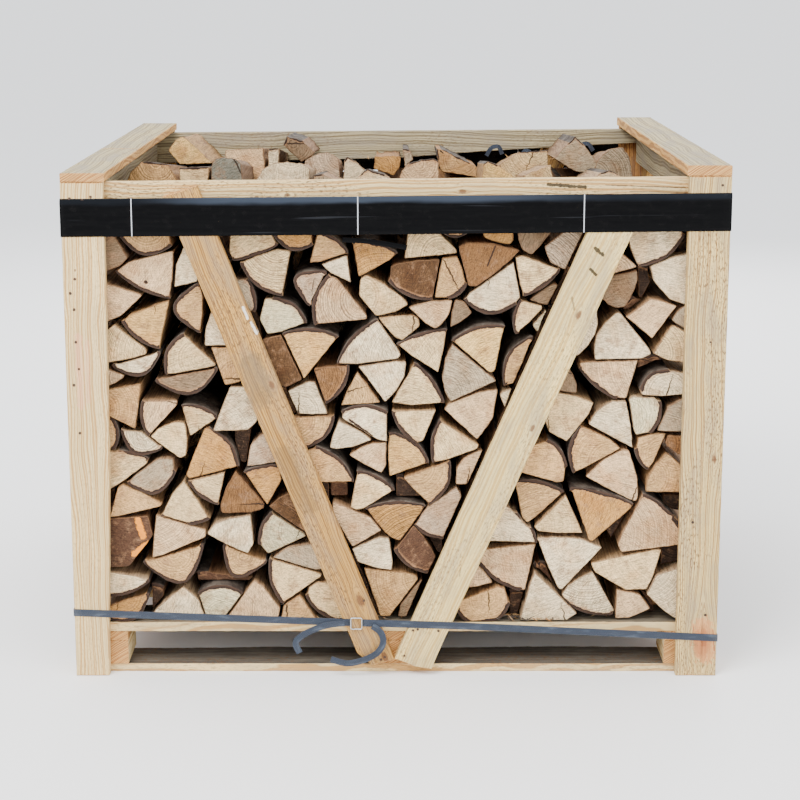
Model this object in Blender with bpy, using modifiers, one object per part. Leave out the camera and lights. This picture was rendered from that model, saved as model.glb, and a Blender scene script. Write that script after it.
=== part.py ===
"""A wooden crate of split beech firewood: three rows of logs in a nailed board crate, held by a film band and a strap.

X runs to the right along the front, Y from the front to the back and Z up. Every table below is in millimetres.
Depths are measured from the outer face of the front posts. A log's outline is the shape of its sawn end, seen from
the front: a corner with a third value starts a bark side, which stands out by that much at its middle.
"""

import math
import random

import bmesh
import bpy
from mathutils import Vector
from mathutils.geometry import convex_hull_2d, delaunay_2d_cdt

MM = 0.001
OBJECT = "crate_of_beech_firewood"

# The crate
HALF_WIDTH = 600.0
DEPTH = 1040.0
BOARD = 20.0
POST_WIDTH = 76.0
LEG_WIDTH = 77.0
FIT = 0.3
EASED_EDGE = 0.8
LEFT_TOP = 931.0
RIGHT_TOP = 942.0
CAP_THICKNESS = 16.0
RIGHT_CAP_THICKNESS = 19.0
CAP_WIDTH = 80.0
CAP_JOINT = 437.0
RAIL_BOTTOM = 850.0
RAIL_RISE = 9.0
SLAT_THICKNESS = 18.0
UPPER_SLAT = (500.0, 580.0)
LOWER_SLAT = (170.0, 250.0)

# The base: boards on the ground, blocks, stringers and the floor
GROUND_BOARD = 15.0
BLOCK_TOP = 61.4
STRINGER_TOP = 79.2
FLOOR_TOP = 97.5
FLOOR_BOARDS = 6
FLOOR_BOARD_WIDTH = 95.0
BLOCK_WIDTH = 75.0
BLOCK_LENGTH = 95.0
RUNNER_TOP = 31.0

# The rows of logs
LOG_SPACE = 557.0
LOG_FLOOR = 98.8
UNDER_RAIL = 846.0
ROW_STARTS = (24.0, 358.0, 690.0)
ROW_ENDS = (350.0, 682.0, 1016.0)
GAP_DEPTH = 66.0
DEEPER = 24.0
UNEVEN = 9.0
BEHIND_RAIL = 44.0
LOG_GAP = 2.2
SMALLEST_END = 260.0
TOP_LAYER_BASE = 868.0
SKYLINE_LOWEST = 850.0

# The film band, the strap, its buckle and the loose ends
FILM = 0.7
STRAP = 0.8
BUCKLE_PROUD = 4.0
FRONT_PROUD = BUCKLE_PROUD
BACK_PROUD = FIT + STRAP
FRONT = -(DEPTH + BACK_PROUD - FRONT_PROUD) / 2

# Where the photograph's camera stood, for the loose logs that are placed by the pixels of their outlines
EYE_X = -12.0
EYE_HEIGHT = 1333.0
EYE_DISTANCE = 3060.0
MM_PER_PIXEL = 1.849
VANISHING_X = 390.0
VANISHING_Y = -36.0

LOGS = [
    [(-556, 299), (-500, 299), (-462, 306), (-454, 265), (-463, 251), (-500, 204), (-556, 200)],
    [(-462, 178, 12), (-556, 151), (-556, 199), (-480, 186)],
    [(-464, 152, 34), (-556, 112), (-541, 128), (-500, 143)],
    [(-475, 216, 62), (-360, 250), (-400, 234), (-430, 222), (-456, 217)],
    [(-457, 217), (-352, 263), (-350, 282), (-390, 285), (-440, 299), (-447, 312)],
    [(-438, 304, 14), (-347, 300), (-368, 335), (-393, 373), (-415, 350)],
    [(-355, 270), (-338, 290), (-310, 300), (-270, 306), (-265, 250), (-277, 229), (-320, 250)],
    [(-322, 248, 52), (-242, 214), (-262, 222), (-277, 228)],
    [(-400, 165), (-450, 122), (-470, 98), (-357, 98), (-360, 115), (-372, 140)],
    [(-284, 149, 18), (-374, 150), (-359, 100), (-331, 99), (-316, 113)],
    [(-329, 98), (-316, 112), (-283, 148), (-278, 170), (-266, 177), (-250, 166), (-217, 122), (-222, 98)],
    [(-535, 298), (-437, 321), (-434, 328), (-470, 350), (-507, 365), (-516, 362), (-531, 305)],
    [(-460, 413, 4), (-556, 437), (-556, 340), (-531, 351), (-500, 371), (-475, 391), (-460, 401)],
    [(-498, 369, 32), (-409, 390), (-412, 415), (-440, 415), (-475, 392)],
    [(-507, 470, 32), (-432, 434), (-470, 466)],
    [(-455, 455), (-400, 412), (-388, 418), (-385, 450), (-388, 483), (-410, 484), (-440, 471)],
    [(-466, 523, 8), (-456, 457), (-430, 485), (-402, 516), (-402, 525)],
    [(-556, 542), (-468, 556), (-474, 510), (-481, 467), (-528, 494), (-556, 505)],
    [(-524, 428, 10), (-524, 491), (-556, 485), (-556, 430)],
    [(-328, 489, 10), (-396, 513), (-390, 485), (-382, 452)],
    [(-291, 399, 12), (-345, 474), (-354, 472), (-380, 410), (-390, 382), (-384, 373), (-330, 388)],
    [(-385, 372, 8), (-330, 327), (-316, 390)],
    [(-298, 390), (-244, 326), (-246, 316), (-272, 308), (-325, 307), (-328, 322), (-318, 355)],
    [(-556, 752), (-527, 741), (-465, 723), (-463, 718), (-502, 681), (-528, 671), (-556, 664)],
    [(-499, 674, 9), (-432, 623), (-420, 680), (-411, 714), (-450, 698), (-485, 686)],
    [(-556, 640), (-528, 650), (-514, 668), (-456, 622), (-456, 609), (-500, 600), (-556, 590)],
    [(-522, 592, 34), (-431, 618), (-455, 610)],
    [(-556, 600), (-529, 590), (-498, 572), (-500, 567), (-528, 546), (-556, 535)],
    [(-388, 649, 16), (-421, 573), (-375, 577), (-327, 590), (-345, 605)],
    [(-441, 562, 38), (-326, 588), (-375, 577), (-428, 570)],
    [(-358, 743, 46), (-357, 653), (-351, 690), (-351, 726)],
    [(-350, 627), (-300, 627), (-300, 690), (-338, 690), (-349, 655)],
    [(-341, 626), (-290, 626), (-262, 600), (-285, 560), (-300, 556), (-316, 553), (-326, 590)],
    [(-308, 552), (-262, 552), (-240, 545), (-256, 484), (-272, 468), (-342, 466), (-312, 520)],
    [(-499, 832, 26), (-407, 813), (-410, 845), (-499, 845)],
    [(-556, 845), (-515, 845), (-503, 812), (-485, 790), (-500, 775), (-528, 765), (-556, 762)],
    [(-509, 766, 9), (-412, 716), (-405, 760), (-403, 804), (-440, 791), (-485, 783)],
    [(-404, 735), (-360, 745), (-350, 810), (-385, 810), (-400, 778)],
    [(-230, 309, 8), (-256, 248), (-239, 227), (-190, 252), (-166, 261), (-172, 271), (-200, 288)],
    [(-238, 321), (-172, 271), (-150, 285), (-160, 330), (-198, 347), (-218, 338)],
    [(-231, 222), (-205, 243), (-150, 252), (-130, 200), (-150, 197), (-198, 211)],
    [(-235, 220, 10), (-212, 132), (-175, 157), (-140, 182), (-138, 192), (-200, 211)],
    [(-218, 99), (-212, 128), (-181, 151), (-170, 130), (-150, 104), (-148, 99)],
    [(-168, 148, 8), (-118, 102), (-95, 102), (-110, 172), (-150, 176), (-163, 165)],
    [(-118, 335), (-90, 328), (-56, 314), (-25, 275), (-82, 241), (-120, 310)],
    [(-84, 240), (-58, 252), (-30, 262), (-12, 261), (-5, 210), (-8, 195), (-35, 200), (-72, 212)],
    [(-62, 203), (-8, 193), (20, 193), (38, 187), (43, 178), (10, 133), (-12, 104), (-30, 104)],
    [(-215, 400, 6), (-281, 388), (-239, 324), (-211, 374)],
    [(-277, 398), (-268, 420), (-270, 440), (-250, 460), (-235, 466), (-200, 455), (-200, 410), (-255, 400)],
    [(-200, 542), (-182, 498), (-123, 493), (-148, 559), (-160, 560), (-180, 552)],
    [(-165, 436, 14), (-114, 500), (-123, 493), (-190, 497), (-200, 460)],
    [(-79, 369, 12), (-148, 436), (-175, 425), (-160, 367)],
    [(-106, 487), (-62, 466), (-44, 449), (-80, 435), (-112, 431), (-123, 434), (-119, 455)],
    [(-16, 503, 13), (-99, 503), (-100, 490), (-85, 486), (-36, 450), (-16, 447)],
    [(-88, 420), (-68, 434), (-45, 444), (-16, 446), (-17, 402), (-26, 384), (-55, 399)],
    [(60, 405, 16), (-13, 462), (-16, 420), (-12, 378)],
    [(-3, 353, 8), (-72, 390), (-87, 312), (-58, 318), (-32, 338)],
    [(55, 322, 10), (-56, 318), (-25, 275), (-8, 260), (8, 254), (33, 288)],
    [(-164, 669, 12), (-222, 716), (-239, 716), (-250, 676), (-236, 647), (-212, 651), (-188, 664)],
    [(-126, 765, 46), (-157, 702), (-150, 720), (-140, 742)],
    [(-281, 782, 14), (-206, 722), (-190, 803), (-215, 808), (-250, 796)],
    [(-296, 787, 6), (-214, 816), (-230, 845), (-300, 845), (-303, 800)],
    [(-219, 832, 18), (-151, 815), (-152, 845), (-219, 845)],
    [(-88, 799, 6), (-130, 834), (-143, 834), (-157, 780), (-138, 782), (-112, 795)],
    [(-137, 778), (-88, 796), (-81, 743), (-100, 753), (-122, 763)],
    [(2, 798, 8), (-79, 819), (-68, 754), (-50, 763), (-10, 786)],
    [(-122, 758, 14), (-147, 667), (-120, 672), (-53, 677), (-52, 684), (-108, 754)],
    [(-65, 752), (-68, 720), (-36, 682), (0, 690), (23, 704), (15, 716), (0, 727), (-20, 742), (-53, 759)],
    [(-245, 640), (-209, 648), (-190, 605), (-171, 564), (-202, 549), (-235, 560)],
    [(-103, 642, 13), (-208, 648), (-169, 563), (-150, 583), (-140, 603)],
    [(-33, 676, 12), (-107, 592), (-75, 591), (-30, 597), (5, 602), (10, 610), (0, 628), (-20, 650)],
    [(-130, 520, 12), (-87, 590), (-152, 586)],
    [(-71, 579), (-27, 519), (-102, 514), (-92, 540)],
    [(-70, 588), (0, 599), (20, 597), (15, 560), (0, 540), (-20, 520)],
    [(-258, 690, 6), (-270, 750), (-300, 750), (-300, 690)],
    [(33, 288), (47, 272), (66, 242), (75, 225), (60, 194, 10), (-3, 240), (10, 256)],
    [(88, 260, 6), (35, 285), (50, 312), (58, 322), (80, 333), (113, 360), (123, 342)],
    [(20, 103), (3, 103), (8, 128), (25, 152), (45, 175), (50, 178)],
    [(212, 135, 12), (165, 97, 12), (115, 122), (122, 142), (150, 150), (192, 168), (205, 164)],
    [(133, 163), (150, 165), (182, 173), (170, 186), (165, 197), (155, 207), (149, 207)],
    [(153, 216, 10), (232, 158), (243, 157), (252, 200), (262, 248), (165, 238), (158, 232)],
    [(262, 251, 8), (225, 308), (205, 325), (198, 322), (168, 254)],
    [(38, 444, 8), (-6, 505), (75, 508), (66, 485), (50, 447)],
    [(82, 487, 9), (70, 406), (98, 411), (150, 430), (155, 440), (110, 468)],
    [(98, 411, 16), (62, 327), (35, 353), (12, 379)],
    [(110, 363), (133, 363), (162, 430), (150, 428), (125, 415), (112, 395)],
    [(88, 507), (95, 518), (150, 541), (188, 546), (180, 490), (160, 460), (150, 448), (97, 498)],
    [(190, 535), (200, 511), (204, 518), (213, 548), (195, 542)],
    [(22, 700), (60, 711), (104, 713), (98, 688), (85, 668), (72, 659), (50, 672), (33, 688)],
    [(108, 714), (125, 710), (140, 688), (120, 672), (99, 661), (101, 690)],
    [(-33, 680), (-10, 683), (35, 685), (43, 678), (44, 663), (12, 636), (-2, 642), (-28, 672)],
    [(93, 657, 6), (2, 630), (30, 607), (78, 576), (88, 620)],
    [(198, 664, 12), (103, 637), (172, 576), (182, 580), (190, 625)],
    [(103, 632), (140, 600), (172, 574), (186, 562), (150, 548), (100, 522), (90, 540), (84, 565), (90, 605)],
    [(88, 519, 8), (31, 596), (22, 572), (12, 548), (-12, 520), (30, 514)],
    [(125, 713, 22), (218, 705), (228, 718), (222, 745), (214, 787), (165, 750), (140, 733)],
    [(228, 712, 8), (220, 649), (243, 668), (268, 695), (268, 702), (245, 706)],
    [(250, 643, 22), (200, 552), (216, 555), (235, 600)],
    [(-12, 748, 10), (66, 714), (74, 750), (81, 788), (40, 786), (5, 781), (-10, 775)],
    [(15, 788), (80, 794), (112, 798), (110, 806), (85, 826), (70, 845), (22, 845)],
    [(128, 742, 5), (97, 716), (70, 716), (75, 752), (83, 790), (112, 793), (122, 770)],
    [(115, 800), (113, 812), (130, 820), (180, 818), (228, 806), (213, 790), (152, 738), (131, 738)],
    [(154, 840), (160, 826), (183, 816), (207, 813), (214, 822), (213, 840)],
    [(85, 838, 9), (130, 838), (120, 845), (95, 845)],
    [(218, 845), (222, 820), (228, 805), (242, 796), (248, 796), (262, 811), (288, 845)],
    [(297, 770, 8), (232, 722), (224, 745), (216, 792), (228, 796), (262, 783)],
    [(268, 810), (290, 827), (312, 845), (343, 845), (308, 768), (300, 770), (279, 781)],
    [(243, 712), (262, 705), (277, 702), (296, 740), (285, 743), (264, 729), (248, 718)],
    [(249, 665), (256, 654), (260, 652), (275, 695), (268, 682), (258, 676)],
    [(262, 262), (300, 264), (350, 261), (388, 245), (362, 216), (312, 160), (304, 161), (284, 205)],
    [(232, 99), (243, 140), (252, 178), (262, 198), (281, 176), (308, 138), (345, 116), (320, 99)],
    [(308, 145, 12), (405, 110), (412, 118), (395, 142), (382, 165), (369, 195), (345, 184), (322, 168)],
    [(364, 212), (400, 218), (488, 240), (497, 238), (480, 175), (470, 159), (430, 158), (372, 193)],
    [(413, 160), (448, 153), (460, 148), (480, 120), (455, 108), (440, 101), (411, 100)],
    [(484, 188), (525, 202), (556, 210), (556, 100), (523, 103), (500, 120), (468, 152)],
    [(455, 348, 8), (527, 285), (556, 270), (556, 250), (455, 250), (421, 232), (413, 247), (430, 297)],
    [(440, 328, 6), (324, 358), (360, 254), (366, 254), (410, 297), (436, 318)],
    [(316, 346), (349, 270), (300, 270), (264, 274), (256, 283), (288, 315)],
    [(312, 348, 10), (220, 368), (226, 340), (234, 300), (240, 287), (248, 290), (265, 303)],
    [(312, 370), (298, 368), (262, 378), (227, 388), (250, 440), (280, 450, 8), (315, 400)],
    [(272, 490), (282, 464), (303, 452), (317, 445), (340, 477), (355, 495), (365, 520), (330, 535), (292, 541)],
    [(330, 386, 14), (340, 475), (350, 473), (395, 452), (418, 432), (412, 428), (375, 407)],
    [(354, 479), (366, 500), (378, 513), (398, 524), (424, 524), (434, 478), (439, 432), (395, 456)],
    [(351, 378), (385, 413), (410, 429), (432, 430), (440, 405), (449, 375), (452, 330), (440, 330), (400, 350)],
    [(468, 392, 5), (444, 430), (448, 454), (472, 461), (500, 462), (489, 437), (478, 405)],
    [(470, 463, 8), (486, 522), (470, 535), (440, 537), (428, 528), (438, 470), (442, 458)],
    [(481, 466), (494, 492), (500, 512), (527, 528), (556, 535), (556, 464), (498, 465)],
    [(498, 440), (502, 458), (556, 455), (556, 420), (523, 420), (512, 435)],
    [(462, 350), (466, 378), (482, 405), (502, 425), (522, 405), (556, 380), (556, 349)],
    [(323, 607), (335, 610), (352, 628), (364, 648), (369, 668), (367, 692), (362, 707)],
    [(364, 599), (362, 622), (366, 648), (381, 670), (403, 690), (411, 688), (466, 620), (470, 611), (450, 601)],
    [(419, 681), (438, 690), (455, 706), (464, 716), (486, 711), (513, 702), (474, 650), (468, 640)],
    [(470, 613), (488, 642), (499, 662), (510, 668), (527, 650), (556, 640), (556, 592), (498, 600)],
    [(503, 674), (513, 692), (526, 702), (556, 700), (556, 655), (526, 656), (515, 669)],
    [(405, 527, 6), (338, 585), (336, 596), (400, 598), (445, 600), (437, 572), (425, 527)],
    [(500, 581, 12), (450, 545), (452, 529), (523, 534), (556, 537), (556, 572), (523, 576)],
    [(293, 542), (333, 537), (333, 555), (325, 575), (314, 590), (311, 585)],
    [(391, 760), (437, 772), (438, 776), (425, 785), (413, 797), (407, 800)],
    [(389, 757), (438, 768), (440, 752), (436, 735), (426, 713), (417, 700), (402, 697), (386, 704), (370, 720)],
    [(521, 833, 14), (442, 776), (436, 780), (424, 808), (418, 830), (424, 845), (515, 845)],
    [(461, 775), (482, 781), (502, 793), (556, 804), (556, 706), (526, 703), (498, 713), (467, 748)],
]

# Logs seen deep in the dark gaps, and those behind the slanting braces, which fit in what the others leave
FILL = [
    [(-375, 150), (-270, 150), (-270, 185), (-330, 190), (-375, 185)],
    [(-300, 400), (-255, 400), (-255, 480), (-300, 480)],
    [(-128, 336), (-90, 336), (-90, 367), (-128, 367)],
    [(52, 272), (88, 264), (88, 225), (70, 225)],
    [(0, 335), (50, 335), (30, 372), (0, 376)],
    [(392, 275), (405, 250), (445, 325), (435, 320), (410, 298)],
    [(416, 690), (424, 706), (440, 718), (462, 714), (436, 690)],
    [(442, 775), (461, 770), (466, 740), (446, 700)],
    [(497, 190), (556, 190), (556, 250), (497, 250)],
    [(500, 312), (556, 300), (556, 346), (500, 346)],
    [(213, 100), (240, 100), (243, 150), (213, 150)],
    [(262, 205), (280, 205), (296, 166), (262, 200)],
    [(445, 580), (490, 600), (480, 604), (447, 600)],
]
BRACE_FILL_LENGTH = 84.0
BRACE_FILL_HALF_WIDTH = 40.0

# Slanting braces: corners of the two boards on the front
LEFT_BRACE = [(-417.7, 905), (-73, 44.4), (-45, 20), (-2.8, 31.4), (-355.6, 925.3)]
RIGHT_BRACE = [(-3, 33), (35.1, 17.6), (67, 12.2), (80, 46.2), (452, 901), (371, 905)]
LEFT_POST = [(-600, 0), (-538, 0), (-536, 102), (-526, 434), (-523, 832), (-523, 931), (-600, 931)]

# Loose logs on the top layer, by the pixels of their sawn ends in the photograph and the depth of that end
TOP_MIDDLE = {
    "shredded": [(136, 180), (140, 168), (153, 158), (165, 160), (178, 161), (187, 180)],
    "lens": [(187, 164), (219, 163), (216, 178), (200, 177)],
    "grey_dome": [(215, 180), (216, 164), (222, 156), (230, 154), (240, 155), (247, 160), (249, 180)],
    "white_dome": [(259, 180), (268, 165), (278, 160), (292, 158), (305, 160), (315, 165), (307, 180)],
    "grey_flat": [(312, 180), (316, 171), (325, 170), (345, 180)],
    "white_wedge": [(351, 180), (362, 170), (368, 165), (385, 171), (395, 180)],
    "pink_dome": [(397, 180), (400, 168), (408, 160), (420, 156), (432, 155), (437, 158), (437, 180)],
    "yellow_wedge": [(477, 180), (479, 160), (483, 157), (492, 161), (505, 169), (515, 180)],
    "pale_wedge": [(518, 180), (519, 171), (545, 161), (547, 180)],
    "pale_flat": [(580, 180), (592, 169), (600, 166), (608, 169), (622, 180)],
}
TOP_BACK = {
    "pink_block": [(230, 154), (232, 146), (268, 144), (270, 168), (255, 177), (240, 177)],
    "blue_white": [(272, 176), (272, 145), (283, 144), (284, 172)],
    "bark_dome": [(305, 172), (307, 156), (320, 149), (330, 148), (340, 153), (342, 172)],
    "small_white": [(344, 174), (345, 156), (348, 152), (355, 156), (366, 166), (366, 176)],
    "cream_slab": [(492, 172), (494, 160), (505, 156), (513, 148), (541, 146), (541, 168)],
    "bark_ridge": [(584, 172), (586, 158), (592, 151), (600, 145), (612, 143), (619, 153), (622, 172)],
}
LOOSE = {
    "tan_log": [(187, 161), (176, 147), (184, 136), (191, 133), (205, 145), (219, 160)],
    "bark_log": [(286, 142), (290, 133), (305, 137), (318, 150), (304, 159), (296, 151)],
    "orange_log": [(373, 165), (374, 152), (400, 152), (399, 163), (393, 172)],
    "grey_log": [(434, 155), (433, 145), (440, 146), (465, 158), (475, 164), (474, 174), (438, 168)],
    "pale_log": [(400, 145), (408, 146), (412, 156), (403, 164), (402, 150)],
    "split_log": [(546, 155), (560, 139), (566, 133), (574, 140), (590, 160), (582, 170), (566, 168)],
}
MIDDLE_TOP_END = 372.0
BACK_TOP_END = 700.0
LOOSE_LENGTH = 290.0


def clear_scene():
    for item in list(bpy.data.objects):
        bpy.data.objects.remove(item)


def material(name, colour, roughness, metallic=0.0):
    mat = bpy.data.materials.new(name)
    mat.use_nodes = True
    surface = mat.node_tree.nodes["Principled BSDF"]
    surface.inputs["Base Color"].default_value = (*colour, 1)
    surface.inputs["Roughness"].default_value = roughness
    surface.inputs["Metallic"].default_value = metallic
    return mat


def world(x, depth, z):
    return Vector((x * MM, (FRONT + depth) * MM, z * MM))


def add_object(name, bm, mat):
    bmesh.ops.recalc_face_normals(bm, faces=bm.faces)
    if bm.calc_volume(signed=True) < 0:
        bmesh.ops.reverse_faces(bm, faces=bm.faces)
    mesh = bpy.data.meshes.new(name)
    bm.to_mesh(mesh)
    bm.free()
    mesh.materials.append(mat)
    item = bpy.data.objects.new(name, mesh)
    bpy.data.collections[OBJECT].objects.link(item)
    return item


def ease_edges(item):
    bevel = item.modifiers.new("eased edges", "BEVEL")
    bevel.width = EASED_EDGE * MM
    bevel.segments = 1


def block(name, x, depth, z, mat, eased=True):
    """A sawn piece between two values of x, of depth and of z."""
    bm = bmesh.new()
    bmesh.ops.create_cube(bm, size=1.0)
    low = world(x[0], depth[0], z[0])
    high = world(x[1], depth[1], z[1])
    for vert in bm.verts:
        vert.co = [low[i] if vert.co[i] < 0 else high[i] for i in range(3)]
    item = add_object(name, bm, mat)
    if eased:
        ease_edges(item)
    return item


def board(name, outline, depth, mat, eased=True):
    """A board whose outline is seen from the front, as thick as the two depths are apart."""
    bm = bmesh.new()
    face = bm.faces.new([bm.verts.new(world(x, depth[0], z)) for x, z in outline])
    moved = bmesh.ops.extrude_face_region(bm, geom=[face])["geom"]
    through = Vector((0, (depth[1] - depth[0]) * MM, 0))
    bmesh.ops.translate(bm, vec=through, verts=[v for v in moved if isinstance(v, bmesh.types.BMVert)])
    item = add_object(name, bm, mat)
    if eased:
        ease_edges(item)
    return item


def flat_board(name, outline, z, mat):
    """A board whose outline is seen from above, as corners of x and depth."""
    bm = bmesh.new()
    face = bm.faces.new([bm.verts.new(world(x, depth, z[0])) for x, depth in outline])
    moved = bmesh.ops.extrude_face_region(bm, geom=[face])["geom"]
    up = Vector((0, 0, (z[1] - z[0]) * MM))
    bmesh.ops.translate(bm, vec=up, verts=[v for v in moved if isinstance(v, bmesh.types.BMVert)])
    item = add_object(name, bm, mat)
    ease_edges(item)
    return item


def centre(points):
    return sum((Vector(p[:2]) for p in points), Vector((0, 0))) / len(points)


def hull(points):
    order = convex_hull_2d([Vector(p[:2]) for p in points])
    return [Vector(points[i][:2]) for i in order]


def log_end(corners, steps=2):
    """The sawn end as a convex outline, with each bark side as an arc."""
    middle = centre(corners)
    points = []
    for here, following in zip(corners, corners[1:] + corners[:1]):
        a = Vector(here[:2])
        b = Vector(following[:2])
        points.append(a)
        if len(here) == 3:
            across = Vector((b.y - a.y, a.x - b.x)).normalized()
            if across.dot((a + b) / 2 - middle) < 0:
                across = -across
            for i in range(1, steps + 1):
                t = i / (steps + 1)
                points.append(a.lerp(b, t) + across * here[2] * math.sin(math.pi * t))
    return hull(points)


def clip(polygon, normal, limit):
    """The part of a convex outline on the side of a line where normal . p is at most limit."""
    kept = []
    for a, b in zip(polygon, polygon[1:] + polygon[:1]):
        from_a = normal.dot(a) - limit
        from_b = normal.dot(b) - limit
        if from_a <= 0:
            kept.append(a)
        if (from_a < 0 < from_b) or (from_b < 0 < from_a):
            kept.append(a.lerp(b, from_a / (from_a - from_b)))
    return kept


def widest_gap(a, b):
    """The direction from outline a to outline b in which they are furthest apart, and the two facing limits."""
    best = None
    for outline, sign in ((a, 1), (b, -1)):
        for p, q in zip(outline, outline[1:] + outline[:1]):
            edge = q - p
            if edge.length < 1e-6:
                continue
            normal = Vector((edge.y, -edge.x)).normalized() * sign
            if normal.dot(centre(outline) - p) * sign > 0:
                normal = -normal
            reach = max(normal.dot(v) for v in a)
            start = min(normal.dot(v) for v in b)
            if best is None or start - reach > best[2] - best[1]:
                best = (normal, reach, start)
    return best


def bounds(polygon):
    xs = [p.x for p in polygon]
    zs = [p.y for p in polygon]
    return min(xs), max(xs), min(zs), max(zs)


def near(a, b, gap):
    a0, a1, a2, a3 = bounds(a)
    b0, b1, b2, b3 = bounds(b)
    return a0 - gap < b1 and b0 - gap < a1 and a2 - gap < b3 and b2 - gap < a3


def part_outlines(first, fixed_count, gap):
    """Trims outlines until each keeps the gap to its neighbours: the fill gives way, the others share."""
    for i in range(len(first)):
        for j in range(i + 1, len(first)):
            if not first[i] or not first[j] or not near(first[i], first[j], gap):
                continue
            normal, reach, start = widest_gap(first[i], first[j])
            if start - reach >= gap:
                continue
            if j >= fixed_count > i:
                first[j] = clip(first[j], -normal, -(reach + gap))
            else:
                middle = (reach + start) / 2
                first[i] = clip(first[i], normal, middle - gap / 2)
                first[j] = clip(first[j], -normal, -(middle + gap / 2))
            for k in (i, j):
                if len(first[k]) < 3:
                    first[k] = []
    return first


def area(polygon):
    turns = zip(polygon, polygon[1:] + polygon[:1])
    return abs(sum(a.x * b.y - b.x * a.y for a, b in turns)) / 2


def brace_fill(outline):
    """Log ends in a chain behind a brace, from its foot to its head."""
    foot = centre(outline[1:4]) if outline is LEFT_BRACE else centre(outline[0:4])
    head = (Vector(outline[0]) + Vector(outline[4])) / 2 if outline is LEFT_BRACE else centre(outline[4:6])
    along = (head - foot).normalized()
    side = Vector((along.y, -along.x)) * BRACE_FILL_HALF_WIDTH
    ends = []
    for i in range(int((head - foot).length / BRACE_FILL_LENGTH)):
        a = foot + along * (i * BRACE_FILL_LENGTH + 40)
        b = a + along * (BRACE_FILL_LENGTH - 3)
        ends.append([a - side, a + side, b + side, b - side])
    return ends


def hidden_course(seed):
    """The uppermost course, behind the band and the rail: blocks and wedges side by side."""
    rng = random.Random(seed)
    ends = []
    x = -LOG_SPACE
    while x < LOG_SPACE - 40:
        width = min(rng.uniform(74, 104), LOG_SPACE - x)
        low = UNDER_RAIL + 3
        high = rng.uniform(880, 893)
        lean = rng.uniform(-10, 10)
        ends.append([Vector((x + 3, low)), Vector((x + width - 3, low)), Vector((x + width - 2, high - 16)),
                     Vector((x + width * 0.62 + lean, high)), Vector((x + width * 0.3 + lean, high - 2)),
                     Vector((x + 2, high - 14))])
        x += width
    return ends


def whole_row(seed, steps=2):
    """Every log end of one row, apart from each other, as pairs of an outline and the depth its kind starts at."""
    ends = [log_end(corners, steps) for corners in LOGS]
    deep = [hull(corners) for corners in FILL] + brace_fill(LEFT_BRACE) + brace_fill(RIGHT_BRACE)
    starts = [ROW_STARTS[0]] * len(ends) + [ROW_STARTS[0] + DEEPER] * len(deep)
    ends += deep
    space = [(Vector((1, 0)), LOG_SPACE), (Vector((-1, 0)), LOG_SPACE), (Vector((0, -1)), -LOG_FLOOR),
             (Vector((0, 1)), UNDER_RAIL)]
    for normal, limit in space:
        ends = [clip(end, normal, limit) if end else [] for end in ends]
    ends = part_outlines(ends, len(LOGS), LOG_GAP)
    kept = [(end, start) for end, start in zip(ends, starts) if len(end) > 2 and area(end) > SMALLEST_END]
    return kept + [(end, BEHIND_RAIL) for end in hidden_course(seed)]


def simplified(polygon, shortest):
    """Drops corners that lie closer than the shortest edge to the one before."""
    kept = []
    for point in polygon:
        if not kept or (point - kept[-1]).length > shortest:
            kept.append(point)
    if len(kept) > 3 and (kept[0] - kept[-1]).length < shortest:
        kept.pop()
    return kept


def from_pixels(outline, depth):
    """An outline in the photograph's pixels as x and z at a depth."""
    scale = MM_PER_PIXEL * (EYE_DISTANCE + depth) / EYE_DISTANCE
    return [Vector(((px - VANISHING_X) * scale + EYE_X, EYE_HEIGHT - (py - VANISHING_Y) * scale))
            for px, py in outline]


def height_at(polygon, x, pick):
    """The highest or lowest z of an outline at x, or None beside it."""
    found = []
    for a, b in zip(polygon, polygon[1:] + polygon[:1]):
        if min(a.x, b.x) <= x <= max(a.x, b.x) and abs(a.x - b.x) > 1e-9:
            found.append(a.y + (b.y - a.y) * (x - a.x) / (b.x - a.x))
    return pick(found) if found else None


def skyline(tops, overhead, base, above=1.0):
    """The upper edge of a row from left to right, over the tops and under the logs that lie on it."""
    step = 5.0
    count = int(2 * (LOG_SPACE + 1) / step)
    points = []
    for i in range(count + 1):
        x = -LOG_SPACE - 1 + 2 * (LOG_SPACE + 1) * i / count
        z = base
        for polygon in tops:
            for beside in (x - step, x, x + step):
                found = height_at(polygon, beside, max)
                if found is not None:
                    z = max(z, found + above)
        for polygon in overhead:
            for beside in (x - step, x, x + step):
                found = height_at(polygon, beside, min)
                if found is not None:
                    z = max(min(z, found - 3.0), SKYLINE_LOWEST)
        points.append(Vector((x, z)))
    return thinned(points, 2.4)


def thinned(points, tolerance):
    """Keeps the points of a line that its shape needs."""
    if len(points) < 3:
        return points
    a = points[0]
    b = points[-1]
    along = (b - a).normalized()
    away = [abs(along.x * (p.y - a.y) - along.y * (p.x - a.x)) for p in points]
    far = max(range(len(points)), key=lambda i: away[i])
    if away[far] < tolerance:
        return [a, b]
    return thinned(points[: far + 1], tolerance)[:-1] + thinned(points[far:], tolerance)


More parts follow.
